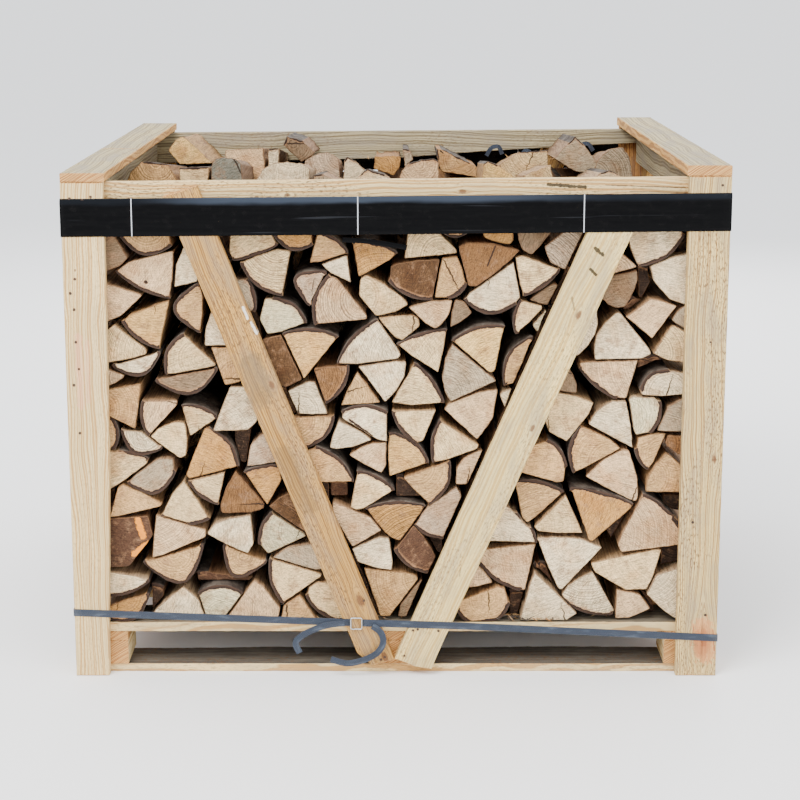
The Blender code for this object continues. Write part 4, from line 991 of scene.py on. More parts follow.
# More logs deep in the gaps at the sides, where one would look right through; their dark tone is painted
# shade
SIDE_FILL = [
    [(-556, 312), (-526, 312), (-526, 354), (-556, 354)],
    [(-556, 640), (-526, 640), (-526, 690), (-556, 690)],
    [(-474, 100), (-436, 100), (-440, 156), (-474, 166)],
    [(-556, 470), (-530, 470), (-530, 520), (-556, 520)],
    [(530, 640), (556, 640), (556, 700), (530, 700)],
    [(530, 530), (556, 530), (556, 580), (530, 580)],
    [(530, 330), (556, 330), (556, 360), (530, 360)],
    [(524, 770), (556, 770), (556, 845), (524, 845)],
    [(452, 120), (486, 120), (486, 168), (452, 168)],
]

# Logs behind the last thin gaps of the front row, and their depths; their dark tone is painted shade
BLIND_LOGS = [
    [(448, 100), (492, 100), (486, 132), (454, 132)],
    [(514, 790), (556, 790), (556, 845), (514, 845)],
]
BLIND_DEPTHS = (70.0, 330.0)

# A low log of the back row, seen between the tops of the middle row, and its depths
LOW_LOG = [(-50, 780), (44, 780), (48, 846), (-46, 850)]
LOW_DEPTHS = (730.0, 1004.0)

# Heights of the logs that nobody sees: of the front row's upper course, and those between the named tops
HIDDEN_TOPS = (880.0, 893.0)
MIDDLE_BETWEEN = 868.0
BACK_BETWEEN = 853.0
SMALLEST_TOP = 150.0

FIBRE_TONES = ("tan", "pink", "grey", "dusk", "cream", "brown")

# How far bark stands out, how near to a bark side a point still belongs to it, and the distance for no bark
BARK_PROUD = 3.0
BARK_REACH = 3.2
NO_BARK = 99.0
RIM_CHAMFER = 0.9
WARMTH = (0.93, 0.89, 0.815)

# Places in the list of a log's materials
SAWN, SIDE, BARK, MARKED = range(4)


class Log:
    """What one log is made from: its outline, its bark, its tone and where it starts and ends."""

    def __init__(self, outline, arcs, tone, start, end, ragged=1.0, droop=0.0):
        self.outline = outline
        self.arcs = arcs
        self.tone = tone
        self.start = start
        self.end = end
        self.ragged = ragged
        self.droop = droop
        self.marked = False
        self.neighbours = []


def packed_logs(seed, starts, length_end, tones, steps=6, mirrored=False):
    """The logs of one row below the rail, from the list of outlines and the fill between them."""
    rng = random.Random(seed)
    ends = [log_end(corners, steps) for corners in LOGS]
    arcs = [bark_arcs(corners, 12) for corners in LOGS]
    deep = [hull(corners) for corners in FILL + SIDE_FILL] + brace_fill(LEFT_BRACE) + brace_fill(RIGHT_BRACE)
    lows = [starts] * len(ends) + [starts + DEEPER] * len(deep)
    # The fill logs deep in the gaps take a dark tone, which is painted shade
    tones = list(tones) + [rng.choice(("painted_shade", "umber")) for _ in deep]
    ends += deep
    arcs += [[sorted([p for p in end if p.y > centre(end).y], key=lambda p: p.x)] for end in deep]
    space = [(Vector((1, 0)), LOG_SPACE), (Vector((-1, 0)), LOG_SPACE), (Vector((0, -1)), -LOG_FLOOR),
             (Vector((0, 1)), UNDER_RAIL)]
    for normal, limit in space:
        ends = [clip(end, normal, limit) if end else [] for end in ends]
    ends = part_outlines(ends, len(LOGS), LOG_GAP)
    logs = []
    for i, (end, bark, tone, low) in enumerate(zip(ends, arcs, tones, lows)):
        if len(end) < 3 or area(end) < (SMALLEST_END if i < len(LOGS) else SMALLEST_FILL):
            continue
        if mirrored:
            end = [Vector((-p.x, p.y)) for p in reversed(end)]
            bark = [[Vector((-p.x, p.y)) for p in line] for line in bark]
        end, bark = set_back(end, bark, rng)
        log = Log(end, bark, tone, low + rng.uniform(0, UNEVEN), length_end - rng.uniform(0, 12))
        log.marked = i in MARKED_LOGS and not mirrored
        logs.append(log)
    for log in logs:
        others = [other.outline for other in logs if other is not log]
        log.neighbours = [outline for outline in others if near(log.outline, outline, 5)]
    return logs


def set_back(end, bark, rng):
    """Pulls a log at the side of the crate in by a little, unevenly, and gives some of them bark there."""
    low, high, _, _ = bounds(end)
    for side, reach in ((1, high), (-1, -low)):
        if reach > LOG_SPACE - 0.5:
            turn = rng.uniform(-0.13, 0.13)
            normal = Vector((side * math.cos(turn), math.sin(turn)))
            limit = max(normal.dot(p) for p in end) - rng.uniform(2.0, 11.0)
            end = clip(end, normal, limit)
            if rng.random() < 0.5:
                outer = sorted([p for p in end if normal.dot(p) > limit - 1.5], key=lambda p: p.y)
                bark = bark + [outer] if len(outer) > 1 else bark
    return end, bark


def upper_side(shape, height):
    """The part of an outline above a height, as a list of one bark side, or none where it is one point."""
    top = sorted([p for p in shape if p.y > height], key=lambda p: p.x)
    return [top] if len(top) > 1 else []


def course_logs(outlines, start, end, seed):
    """Logs from plain outlines, with bark on the upper side of some of them."""
    rng = random.Random(seed)
    logs = []
    for outline in outlines:
        shape = hull(outline)
        if len(shape) < 3:
            continue
        arcs = upper_side(shape, bounds(shape)[3] - 24) if rng.random() < 0.45 else []
        logs.append(Log(shape, arcs, rng.choice(FIBRE_TONES), start + rng.uniform(0, UNEVEN),
                        end - rng.uniform(0, 10)))
    return logs


def rounded(outline, spacing, corner):
    """Points along an outline, close together, with its corners rounded off."""
    points = []
    count = len(outline)
    for i in range(count):
        before, here, following = outline[i - 1], outline[i], outline[(i + 1) % count]
        back = min(corner, (before - here).length * 0.35)
        forth = min(corner, (following - here).length * 0.35)
        a = here + (before - here).normalized() * back
        b = here + (following - here).normalized() * forth
        points += [a, a.lerp(here, 0.5).lerp(here.lerp(b, 0.5), 0.5), b]
    dense = []
    for a, b in zip(points, points[1:] + points[:1]):
        steps = max(1, round((b - a).length / spacing))
        dense += [a.lerp(b, i / steps) for i in range(steps)]
    kept = []
    for point in dense:
        if not kept or (point - kept[-1]).length > 1.2:
            kept.append(point)
    return kept


def free_space(point, neighbours):
    """How far a point of an outline is from the nearest of the other outlines."""
    return min((distance_to_line(point, other + other[:1]) for other in neighbours), default=9.0)


def distance_to_line(point, line):
    best = 1e9
    for a, b in zip(line, line[1:]):
        along = b - a
        length = along.length_squared
        t = 0.0 if length < 1e-9 else max(0.0, min(1.0, (point - a).dot(along) / length))
        best = min(best, (point - a.lerp(b, t)).length)
    return best


def nearest_bark(point, log):
    return min((distance_to_line(point, arc) for arc in log.arcs), default=NO_BARK)


def heart_of(log, middle, rng):
    """Where the middle of the tree was, from the curve of the bark side or else beyond a random corner."""
    if log.arcs:
        arc = max(log.arcs, key=lambda line: (line[0] - line[-1]).length)
        a, b, top = arc[0], arc[-1], arc[len(arc) // 2]
        chord = (b - a).length
        bulge = max((top - (a + b) / 2).length, 3.0)
        radius = (chord * chord / 4 + bulge * bulge) / (2 * bulge)
        inward = ((a + b) / 2 - top).normalized() if bulge > 3.0 else (middle - top).normalized()
        return top + inward * min(radius, 150.0)
    corner = rng.choice(log.outline)
    return middle + (corner - middle) * rng.uniform(0.7, 1.6)


class Heap:
    """Gathers logs into one mesh, with the values that their materials read."""

    def __init__(self, seed):
        self.rng = random.Random(seed)
        self.verts = []
        self.faces = []
        self.kinds = []
        self.place = []
        self.tone = []
        self.marks = []
        self.count = 0

    def add_log(self, log, spacing, sections, rings, seen_end="near"):
        """Adds a closed log. Its sections are distances from the seen end, its rings steps from the rim."""
        rng = self.rng
        self.count += 1
        shift = self.count * 0.37
        outline = rounded(log.outline, spacing, 3.5)
        middle = centre(outline)
        heart = heart_of(log, middle, rng)
        turn = rng.uniform(-0.5, 0.5) + rng.choice((0, 0, math.pi / 2))
        crack = rng.uniform(0.015, 0.05) if rng.random() < 0.35 else 0.0
        shade = rng.uniform(0.9, 1.04)
        tone = [c * shade * warm for c, warm in zip(srgb(TONES[log.tone]), WARMTH)] + [rng.random() ** 2]
        size = len(outline)
        reach = sum((p - middle).length for p in outline) / size
        near_x, far_x = (log.start, log.end) if seen_end == "near" else (log.end, log.start)
        way = 1 if seen_end == "near" else -1
        length = abs(far_x - near_x)
        tilt = Vector((rng.uniform(-0.02, 0.02), rng.uniform(-0.02, 0.02)))
        bark = [nearest_bark(p, log) for p in outline]
        bare = [b > BARK_REACH for b in bark]
        shaped = []
        for i, p in enumerate(outline):
            away = outline[(i + 1) % size] - outline[i - 1]
            normal = Vector((away.y, -away.x)).normalized()
            if normal.dot(p - middle) < 0:
                normal = -normal
            rough = noise.noise(Vector((p.x * 0.11, p.y * 0.11, shift * 9)))
            fine = noise.noise(Vector((p.x * 0.4, p.y * 0.4, shift * 7)))
            push = -0.7 + (0.8 * rough + 0.4 * fine) * log.ragged
            if log.ragged > 1:
                push -= 2.0 * abs(noise.noise(Vector((p.x * 0.23, p.y * 0.23, shift * 4))))
            if not bare[i] and log.neighbours:
                push = max(push, min(BARK_PROUD, free_space(p, log.neighbours) - 0.5) + 0.4 * fine)
            shaped.append((p, normal, push))
        base = len(self.verts)

        def put(point, depth, edge, from_rim):
            self.verts.append(world(point.x, depth, point.y))
            local = (point - heart) * MM
            spun = (local.x * math.cos(turn) - local.y * math.sin(turn),
                    local.x * math.sin(turn) + local.y * math.cos(turn))
            self.place.append((spun[0], depth * MM + shift, spun[1]))
            self.tone.append(tone)
            self.marks.append((edge * MM, crack, from_rim * MM))

        far_shrink = rng.uniform(0.0, 0.02)
        end_kind = MARKED if log.marked else SAWN
        for k, distance in enumerate(sections):
            depth_share = min(distance / length, 1.0)
            for i, (p, normal, push) in enumerate(shaped):
                flute = noise.noise(Vector((p.x * 0.09 + shift, p.y * 0.09, distance * 0.012)))
                lump = (3.2 if bare[i] else 1.2) * (flute - 0.45) * min(1.0, distance / 30)
                chamfer = -RIM_CHAMFER if k == 0 else 0.0
                spot = p + normal * (push + lump + chamfer)
                spot = middle + (spot - middle) * (1 - far_shrink * depth_share)
                lean = tilt.dot(p - middle) * (1 - depth_share)
                spot = spot - Vector((0, log.droop * depth_share))
                put(spot, near_x + way * (min(distance, length) + lean), bark[i], 0.0)
        sides = [(i, (i + 1) % size) for i in range(size)]
        for row in range(base, base + (len(sections) - 1) * size, size):
            for i, j in sides:
                quad = [row + i, row + size + i, row + size + j, row + j]
                self.add_faces([quad], way, SIDE if bare[i] or bare[j] else BARK)
        previous = base
        for step_in in rings:
            start = len(self.verts)
            factor = max(1 - step_in / reach, 0.0)
            for i, (p, normal, push) in enumerate(shaped):
                spot = middle + (p + normal * (push - RIM_CHAMFER) - middle) * factor
                uneven = noise.noise(Vector((spot.x * 0.05, spot.y * 0.05, shift * 5))) * 0.5
                edge = min(bark[i] + (p - spot).length, NO_BARK) if bark[i] < BARK_REACH else NO_BARK
                if BARK_REACH <= bark[i] < 30:
                    edge = nearest_bark(spot, log)
                lean = tilt.dot(spot - middle) - 0.3 + uneven * (1 - factor)
                put(spot, near_x + way * lean, edge, (p - spot).length)
            ring = [[previous + i, previous + j, start + j, start + i] for i, j in sides]
            self.add_faces(ring, way, end_kind)
            previous = start
        uneven = noise.noise(Vector((middle.x * 0.05, middle.y * 0.05, shift * 5))) * 0.5
        put(middle, near_x + way * (uneven - 0.3), NO_BARK, reach)
        top = len(self.verts) - 1
        self.add_faces([[previous + i, previous + j, top] for i, j in sides], way, end_kind)
        last = base + (len(sections) - 1) * size
        put(middle - Vector((0, log.droop)), far_x, NO_BARK, reach)
        bottom = len(self.verts) - 1
        self.add_faces([[last + j, last + i, bottom] for i, j in sides], way, SAWN)

    def add_faces(self, faces, way, kind):
        self.faces += faces if way > 0 else [face[::-1] for face in faces]
        self.kinds += [kind] * len(faces)

    def build(self, name, materials, nodes):
        mesh = new_mesh(name, self.verts, self.faces, materials[:max(self.kinds) + 1])
        mesh.polygons.foreach_set("material_index", self.kinds)
        mesh.polygons.foreach_set("use_smooth", [kind in (SIDE, BARK) for kind in self.kinds])
        store(mesh, "log_place", self.place)
        store(mesh, "log_tone", self.tone, "color")
        store(mesh, "log_marks", self.marks)
        mesh.update()
        return settled(name, mesh, nodes)


FRONT_SECTIONS = (0.0, 1.0, 6.0, 16.0, 34.0, 70.0, 150.0, 330.0)
PLAIN_SECTIONS = (0.0, 1.0, 40.0, 120.0, 220.0, 330.0)
FRONT_RINGS = (1.0, 2.2, 3.6, 6.0, 11.0, 20.0)
BACK_RINGS = (1.5, 3.5, 8.0, 20.0)
HIDDEN_RINGS = (3.0, 16.0)


def make_rows(materials):
    """The three rows. The front one is in two pieces, left and right, to keep each of them small."""
    front = packed_logs(7, ROW_STARTS[0], ROW_ENDS[0], LOG_TONES)
    upper = course_logs(hidden_course(3), BEHIND_RAIL, ROW_ENDS[0], 21)
    for name, chosen in (("front_logs_left", lambda x: x < 0), ("front_logs_right", lambda x: x >= 0)):
        heap = Heap(len(name))
        for log in front:
            if chosen(centre(log.outline).x):
                heap.add_log(log, 5.5, FRONT_SECTIONS, FRONT_RINGS)
        for log in upper:
            if chosen(centre(log.outline).x):
                heap.add_log(log, 7.0, PLAIN_SECTIONS, BACK_RINGS)
        for outline in BLIND_LOGS:
            if chosen(centre(outline).x):
                heap.add_log(Log(hull(outline), [], "painted_shade", *BLIND_DEPTHS), 8.0, PLAIN_SECTIONS, BACK_RINGS)
        heap.build(name, materials, ["log_row_front"])
    rng = random.Random(11)
    shuffled = list(LOG_TONES)
    rng.shuffle(shuffled)
    heap = Heap(31)
    for log in packed_logs(12, ROW_STARTS[1] + 2, ROW_ENDS[1], shuffled, 3, mirrored=True):
        heap.add_log(log, 11.0, PLAIN_SECTIONS, HIDDEN_RINGS)
    named = [hull(from_pixels(outline, ROW_STARTS[1] + 14)) for outline in TOP_MIDDLE.values()]
    for log in top_course(named, ROW_STARTS[1], ROW_ENDS[1], MIDDLE_BETWEEN, MIDDLE_TOP_TONES, 13):
        heap.add_log(log, 6.0, PLAIN_SECTIONS, BACK_RINGS)
    heap.build("middle_logs", materials, ["log_row_middle"])
    rng.shuffle(shuffled)
    heap = Heap(41)
    for log in packed_logs(15, ROW_STARTS[2] + 2, ROW_ENDS[2], shuffled, 4):
        log.end -= UNEVEN
        heap.add_log(log, 8.0, PLAIN_SECTIONS, BACK_RINGS, "far")
    named = [hull(from_pixels(outline, ROW_STARTS[2] + 10)) for outline in TOP_BACK.values()]
    for log in top_course(named, ROW_STARTS[2], ROW_ENDS[2], BACK_BETWEEN, BACK_TOP_TONES, 17):
        heap.add_log(log, 6.0, PLAIN_SECTIONS, BACK_RINGS)
    heap.add_log(Log(hull(LOW_LOG), [], "dusk", *LOW_DEPTHS), 8.0, PLAIN_SECTIONS, BACK_RINGS)
    heap.build("back_logs", materials, ["log_row_back"])


MIDDLE_TOP_TONES = ("salmon", "cream", "slate", "white", "grey", "white", "pink", "yellow", "cream", "white")
BACK_TOP_TONES = ("pink", "white", "mauve", "white", "cream", "grey")


def top_course(named, start, end, between, tones, seed):
    """The uppermost logs of a row, and low ones between them."""
    rng = random.Random(seed)
    floor = UNDER_RAIL + 4
    shapes = []
    for shape in named:
        low, high, _, _ = bounds(shape)
        shapes.append(hull(shape + [Vector((low + 4, floor)), Vector((high - 4, floor))]))
    fixed = len(shapes)
    x = -LOG_SPACE
    while x < LOG_SPACE - 40:
        width = min(rng.uniform(60, 96), LOG_SPACE - x)
        high = between - rng.uniform(0, 4)
        end_x = x + width - 2
        shapes.append([Vector((x + 2, floor)), Vector((end_x, floor)), Vector((end_x, high - 3)),
                       Vector((x + width * 0.5, high)), Vector((x + 2, high - 3))])
        x += width
    shapes = part_outlines(shapes, fixed, LOG_GAP)
    logs = []
    for i, shape in enumerate(shapes):
        if len(shape) < 3 or area(shape) < SMALLEST_TOP:
            continue
        tone = tones[i] if i < fixed else rng.choice(("dusk", "brown", "grey"))
        arcs = upper_side(shape, bounds(shape)[3] - 14) if i < fixed and rng.random() < 0.5 else []
        ragged, droop = (2.2, rng.uniform(26, 42)) if i < fixed else (1.0, 8.0)
        logs.append(Log(shape, arcs, tone, start + rng.uniform(0, UNEVEN), end - rng.uniform(0, 14), ragged,
                        droop))
    return logs


LOOSE_TONES = {"tan_log": "yellow", "bark_log": "dusk", "orange_log": "orange", "grey_log": "tan",
               "pale_log": "grey", "split_log": "grey"}
LOOSE_BARK = ("bark_log", "pale_log", "split_log", "grey_log")


def make_loose_logs(materials):
    """The logs that lie loose on the last row, each in place of its own node."""
    outlines = [hull(from_pixels(outline, BACK_TOP_END)) for outline in LOOSE.values()]
    outlines = part_outlines(outlines, 0, LOG_GAP)
    for i, (name, outline) in enumerate(zip(LOOSE, outlines)):
        arcs = upper_side(outline, centre(outline).y) if name in LOOSE_BARK else []
        heap = Heap(60 + i)
        far = BACK_TOP_END + LOOSE_LENGTH
        log = Log(outline, arcs, LOOSE_TONES[name], BACK_TOP_END + 1, far - 1, 1.8, 18)
        heap.add_log(log, 4.0, FRONT_SECTIONS[:-1] + (LOOSE_LENGTH,), FRONT_RINGS)
        heap.build("loose_" + name, materials, [name])


# Boards


PALE = ((236, 210, 154), (194, 150, 90))
RIGHT = ((228, 200, 136), (168, 130, 76))
CREAM = ((234, 208, 142), (204, 168, 100))
TAN = ((200, 154, 82), (140, 98, 48))
EDGE = ((214, 166, 92), (166, 116, 58))
CAP = ((192, 176, 132), (136, 120, 84))
BROWN = ((196, 142, 80), (132, 86, 46))
GREYED = ((184, 170, 134), (120, 106, 78))
FLOOR = ((116, 106, 88), (72, 64, 52))
DARK = ((100, 92, 80), (58, 52, 46))


def make_board_material(name, grain, knot, stroke, colours, grey, spacing, specks, knots, strokes):
    """Sawn softwood, with its knots as (along, across, size) in metres, and its stains."""
    made, tree, shader = surface(name, 0.82, Specular_IOR_Level=0.25)
    place = carried(tree, "board_place")["Vector"]
    masks = []
    for along, across, size in knots:
        found = use(tree, knot, Place=place, Centre=(along, across, 0.0), Size=size)
        place = vector_maths(tree, "SUBTRACT", place, joined(tree, 0.0, found["Push"], 0.0))
        masks.append(found["Mask"])
    found = use(tree, grain, Place=place, Pale=srgb(colours[0]), Dark=srgb(colours[1]), Spacing=spacing,
                Grey=grey, Specks=specks)
    colour = found["Colour"]
    for mask in masks:
        colour = mixed(tree, times(tree, mask, 0.8), colour, srgb((104, 66, 44)))
    for start, end, half_width, stain, strength in strokes:
        mask = times(tree, stroke_mask(tree, stroke, start, end, half_width), strength)
        colour = mixed(tree, mask, colour, srgb(stain))
    paint(tree, shader, colour)
    bump(tree, shader, found["Height"], 0.0009)
    return made


def make_board_end(blotches, saw_marks):
    """The cut end of a sawn board, with its year rings as slanting lines."""
    made, tree, shader = surface("board end", 0.85, Specular_IOR_Level=0.25)
    place = carried(tree, "board_place")["Vector"]
    _, y, z = split(tree, place)
    slant = times_plus(tree, z, 1.6, y)
    warp = stretched_noise(tree, place, (30, 30, 30), 1.0)
    rings = line_noise(tree, ratio(tree, times_plus(tree, warp, 0.01, slant), 0.0034), 0.0)
    rings = step(tree, rings, 0.42, 0.6)
    colour = mixed(tree, rings, srgb((208, 160, 98)), srgb((160, 106, 60)))
    shade = use(tree, blotches, Place=place, Amount=0.4)["Factor"]
    colour = brightened(tree, colour, shade)
    paint(tree, shader, colour)
    saw = use(tree, saw_marks, Place=place, Spacing=0.0018)["Line"]
    bump(tree, shader, plus(tree, saw, rings), 0.0006)
    return made


def to_world(plane, u, v, w):
    """A point of a board's broad face at a depth through it, by the plane that its face lies in."""
    if plane == "front":
        return world(u, w, v)
    if plane == "side":
        return world(w, u, v)
    return world(u, v, w)


class Board:
    """One sawn board: corners of its broad face, its two faces' positions, and the way its grain runs."""

    def __init__(self, outline, span, plane, grain, rough=0.7):
        self.outline = [Vector(p) for p in outline]
        self.span = span
        self.plane = plane
        self.grain = Vector(grain).normalized()
        self.rough = rough
        self.own_wood = False


# How far apart the points of a board's edge are, and how far its edges are worn
EDGE_SPACING = 9.0
EDGE_WORN = 1.3


def box_board(node, plane, grain, rough=0.7):
    """A rectangular board in place of a box-shaped node."""
    low, high = (Vector((x / MM, (y - FRONT) / MM, z / MM)) for x, y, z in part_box(node))
    order = {"front": (0, 2, 1), "side": (1, 2, 0), "flat": (0, 1, 2)}[plane]
    u0, v0, w0 = (low[i] for i in order)
    u1, v1, w1 = (high[i] for i in order)
    return Board([(u0, v0), (u1, v0), (u1, v1), (u0, v1)], (w0, w1), plane, grain, rough)


def make_board(node, board, materials, seed):
    """One board as a piece of its own, in place of its node."""
    shift = 0.0 if board.own_wood else random.Random(seed).uniform(1, 40)
    corners = board.outline[::-1] if turning(board.outline) < 0 else board.outline
    middle = centre(corners)
    points = []
    for a, b in zip(corners, corners[1:] + corners[:1]):
        steps = max(2, round((b - a).length / EDGE_SPACING))
        edge = (b - a).normalized()
        is_end = abs(edge.dot(board.grain)) < 0.6
        points += [(a.lerp(b, i / steps), Vector((edge.y, -edge.x)), is_end) for i in range(steps)]
    low, high = board.span
    thick = high - low
    lip = min(EDGE_WORN, thick / 4)
    layers = [(0.0, EDGE_WORN), (lip, 0.0), (thick / 2, 0.0), (thick - lip, 0.0), (thick, EDGE_WORN)]
    across = Vector((-board.grain.y, board.grain.x))
    verts, place = [], []
    for through, inset in layers:
        for i, (point, normal, _) in enumerate(points):
            turned = (points[i - 1][1] + normal).normalized()
            wave = noise.noise(Vector((point.x * 0.035, point.y * 0.035, shift + through * 0.03)))
            chip = noise.noise(Vector((point.x * 0.16, point.y * 0.16, shift * 3 + through * 0.12)))
            cut = board.rough * (0.5 + 0.5 * wave + 0.9 * max(0.0, chip - 0.1))
            spot = point - turned * (cut + inset * (1 + 0.8 * chip))
            verts.append(to_world(board.plane, spot.x, spot.y, low + through))
            along = (spot - middle).dot(board.grain)
            aside = (spot - middle).dot(across)
            place.append((along * MM + shift, aside * MM, through * MM))
    size = len(points)
    faces, kinds = [], []
    for row in range(0, len(verts) - size, size):
        for i, (_, _, is_end) in enumerate(points):
            j = (i + 1) % size
            faces.append([row + i, row + size + i, row + size + j, row + j])
            kinds.append(1 if is_end else 2)
    faces += [list(range(size)), list(range(len(verts) - size, len(verts)))[::-1]]
    if board.plane != "front":
        faces = [face[::-1] for face in faces]
    mesh = new_mesh(node + "_board", verts, faces, materials)
    mesh.polygons.foreach_set("material_index", kinds + [0, 0])
    store(mesh, "board_place", place)
    face_outwards(mesh)
    mesh.update()
    return settled(node + "_board", mesh, [node])


UP = (0, 1)
ALONG = (1, 0)


def board_table():
    """Every board of the crate: node, board and kind of wood."""
    rail_end = HALF_WIDTH - BOARD - FIT - 0.2
    front_rail = [(-rail_end, 850), (rail_end, 859), (rail_end, 938.5), (-rail_end, 929)]
    back_rail = [(-rail_end, 856), (0, 868), (200, 884), (rail_end, 905), (rail_end, 937), (-rail_end, 928)]
    edge = HALF_WIDTH - BOARD - 1
    low = BOARD + 2 * FIT
    waney = [(-edge, low), (edge, low), (edge, 106), (300, 110), (60, 103), (-240, 108), (-430, 101),
             (-edge, 105)]
    front = (0, BOARD)
    back = (DEPTH - BOARD, DEPTH)
    left_way = Vector(LEFT_BRACE[0]) - Vector(LEFT_BRACE[1])
    right_way = Vector(RIGHT_BRACE[4]) - Vector(RIGHT_BRACE[3])
    rows = []

    def cut(node, outline, span, grain, wood):
        rows.append((node, Board(outline, span, "front", grain), wood))

    def boxes(nodes, plane, grain, wood, rough=0.7):
        for node in nodes.split():
            rows.append((node, box_board(node, plane, grain, rough), wood))

    cut("front_post_left", LEFT_POST, front, UP, "post_left")
    boxes("front_post_right", "front", UP, "post_right")
    boxes("back_post_left", "front", UP, "tan")
    boxes("back_post_right", "front", UP, "brown")
    cut("front_rail", front_rail, (BOARD + FIT, 2 * BOARD), ALONG, "rail")
    cut("back_rail", back_rail, (DEPTH - 2 * BOARD, DEPTH - BOARD - FIT), ALONG, "greyed")
    cut("brace_left", LEFT_BRACE, front, left_way, "brace_left")
    cut("brace_right", RIGHT_BRACE, front, right_way, "brace_right")
    cut("back_brace_left", [(-x, z) for x, z in RIGHT_BRACE], back, (-right_way.x, right_way.y), "pale")
    cut("back_brace_right", [(-x, z) for x, z in LEFT_BRACE], back, (-left_way.x, left_way.y), "tan")
    rows.append(("ground_board_front", Board(waney, (0, 15), "flat", ALONG, 1.5), "ground"))
    boxes("ground_board_middle", "flat", ALONG, "ground", 1.2)
    waney = [(x, DEPTH - d) for x, d in waney]
    rows.append(("ground_board_back", Board(waney, (0, 15), "flat", ALONG, 1.5), "ground"))
    boxes("centre_runner", "flat", UP, "tan")
    boxes("cap_left_front cap_left_back cap_right", "flat", UP, "cap", 1.2)
    for side in ("left", "right"):
        boxes(f"front_leg_{side}", "side", UP, "pale")
        boxes(f"back_leg_{side}", "side", UP, "tan")
        boxes(f"side_rail_{side} side_slat_{side}_upper side_slat_{side}_lower", "side", ALONG, "greyed")
    for side in ("left", "centre", "right"):
        boxes(f"block_{side}_front block_{side}_middle block_{side}_back", "flat", UP, "pale")
        boxes(f"stringer_{side}", "flat", UP, "brown")
    for i in range(1, 7):
        boxes(f"floor_board_{i}", "flat", ALONG, "floor", 1.2)
    return rows


# Knots of the boards that have a wood of their own: x, z and size in metres
KNOTS = {
    "brace_left": [(-66, 148, 0.009), (-21, 37, 0.008), (-226, 560, 0.006)],
    "post_right": [(572, 66, 0.021), (584, 420, 0.005)],
    "post_left": [(-577, 772, 0.002)],
    "rail": [(-195, 906, 0.004), (410, 900, 0.006), (120, 912, 0.005)],
    "brace_right": [(250, 480, 0.005), (330, 690, 0.006)],
}

# Stains and rubbed places: from and to in x and z, half width, colour, strength
STAINS = {
    "brace_left": [((-276, 704), (-268, 684), 2.4, (240, 234, 224), 0.8),
                   ((-262, 676), (-252, 656), 2.6, (240, 234, 224), 0.8),
                   ((-262, 600), (-246, 540), 24.0, (112, 92, 66), 0.5),
                   ((-205, 430), (-160, 330), 18.0, (104, 80, 52), 0.45)],
    "post_left": [((-575, 650), (-574, 520), 7.0, (240, 160, 138), 0.3),
                  ((-560, 640), (-561, 530), 5.0, (240, 160, 138), 0.25)],
    "post_right": [((548, 880), (560, 830), 12.0, (120, 100, 76), 0.25),
                   ((574, 96), (578, 44), 21.0, (212, 132, 78), 0.55),
                   ((574, 74), (576, 62), 5.0, (150, 84, 50), 0.6),
                   ((592, 90), (596, 50), 1.6, (150, 84, 50), 0.7),
                   ((556, 96), (552, 60), 1.4, (150, 84, 50), 0.6)],
    "rail": [((274, 925), (340, 920), 3.4, (20, 16, 14), 0.9),
             ((376, 924), (520, 919), 0.9, (70, 50, 36), 0.9),
             ((420, 912), (560, 910), 0.8, (70, 50, 36), 0.8)],
    "brace_right": [((358, 812), (372, 800), 3.6, (24, 18, 14), 0.9),
                    ((350, 774), (360, 764), 3.0, (24, 18, 14), 0.9),
                    ((318, 722), (322, 700), 2.0, (90, 70, 50), 0.6),
                    ((120, 212), (118, 196), 1.6, (90, 70, 50), 0.5)],
}


def local_place(board, x, z):
    """Where a point of the front is along and across a board, in metres from its middle."""
    away = Vector((x, z)) - centre(board.outline)
    return away.dot(board.grain) * MM, away.dot(Vector((-board.grain.y, board.grain.x))) * MM


# Kinds of wood: slot, colours, greyness, spacing of the growth lines and specks
WOODS = {
    "post_left": ("pale_timber", PALE, 0.1, 0.0031, 0.3),
    "post_right": ("pale_timber", RIGHT, 0.5, 0.0026, 0.9),
    "rail": ("pale_timber", PALE, 0.25, 0.0048, 0.8),
    "brace_left": ("tan_timber", TAN, 0.4, 0.0026, 0.9),
    "brace_right": ("pale_timber", CREAM, 0.5, 0.0046, 0.6),
    "pale": ("pale_timber", PALE, 0.4, 0.0045, 0.4),
    "tan": ("tan_timber", TAN, 0.4, 0.0042, 0.6),
    "brown": ("tan_timber", BROWN, 0.4, 0.0042, 0.6),
    "greyed": ("weathered_timber", GREYED, 0.7, 0.005, 0.6),
    "cap": ("weathered_timber", CAP, 0.8, 0.005, 0.7),
    "ground": ("weathered_timber", DARK, 0.3, 0.003, 0.9),
    "edge": ("weathered_timber", EDGE, 0.2, 0.003, 0.4),
    "floor": ("tan_timber", FLOOR, 0.3, 0.004, 0.9),
}

# Woods whose boards show another one at their edges
EDGES = {"cap": "edge", "ground": "pale", "floor": "pale"}


def make_boards(grain, knot, stroke, blotches, saw_marks):
    end = make_board_end(blotches, saw_marks)
    table = board_table()
    woods = {}
    for kind, (_, *values) in WOODS.items():
        knots = []
        for _, board, wood in table:
            if wood == kind and kind in KNOTS:
                board.own_wood = True
                knots = [(*local_place(board, x, z), size) for x, z, size in KNOTS[kind]]
        strokes = STAINS.get(kind, ())
        woods[kind] = make_board_material(kind + " wood", grain, knot, stroke, *values, knots, strokes)
    for i, (node, board, wood) in enumerate(table):
        materials = [woods[wood], end, woods[EDGES.get(wood, wood)]]
        make_board(node, board, materials, 100 + i)


# The band, the strap and the buckle


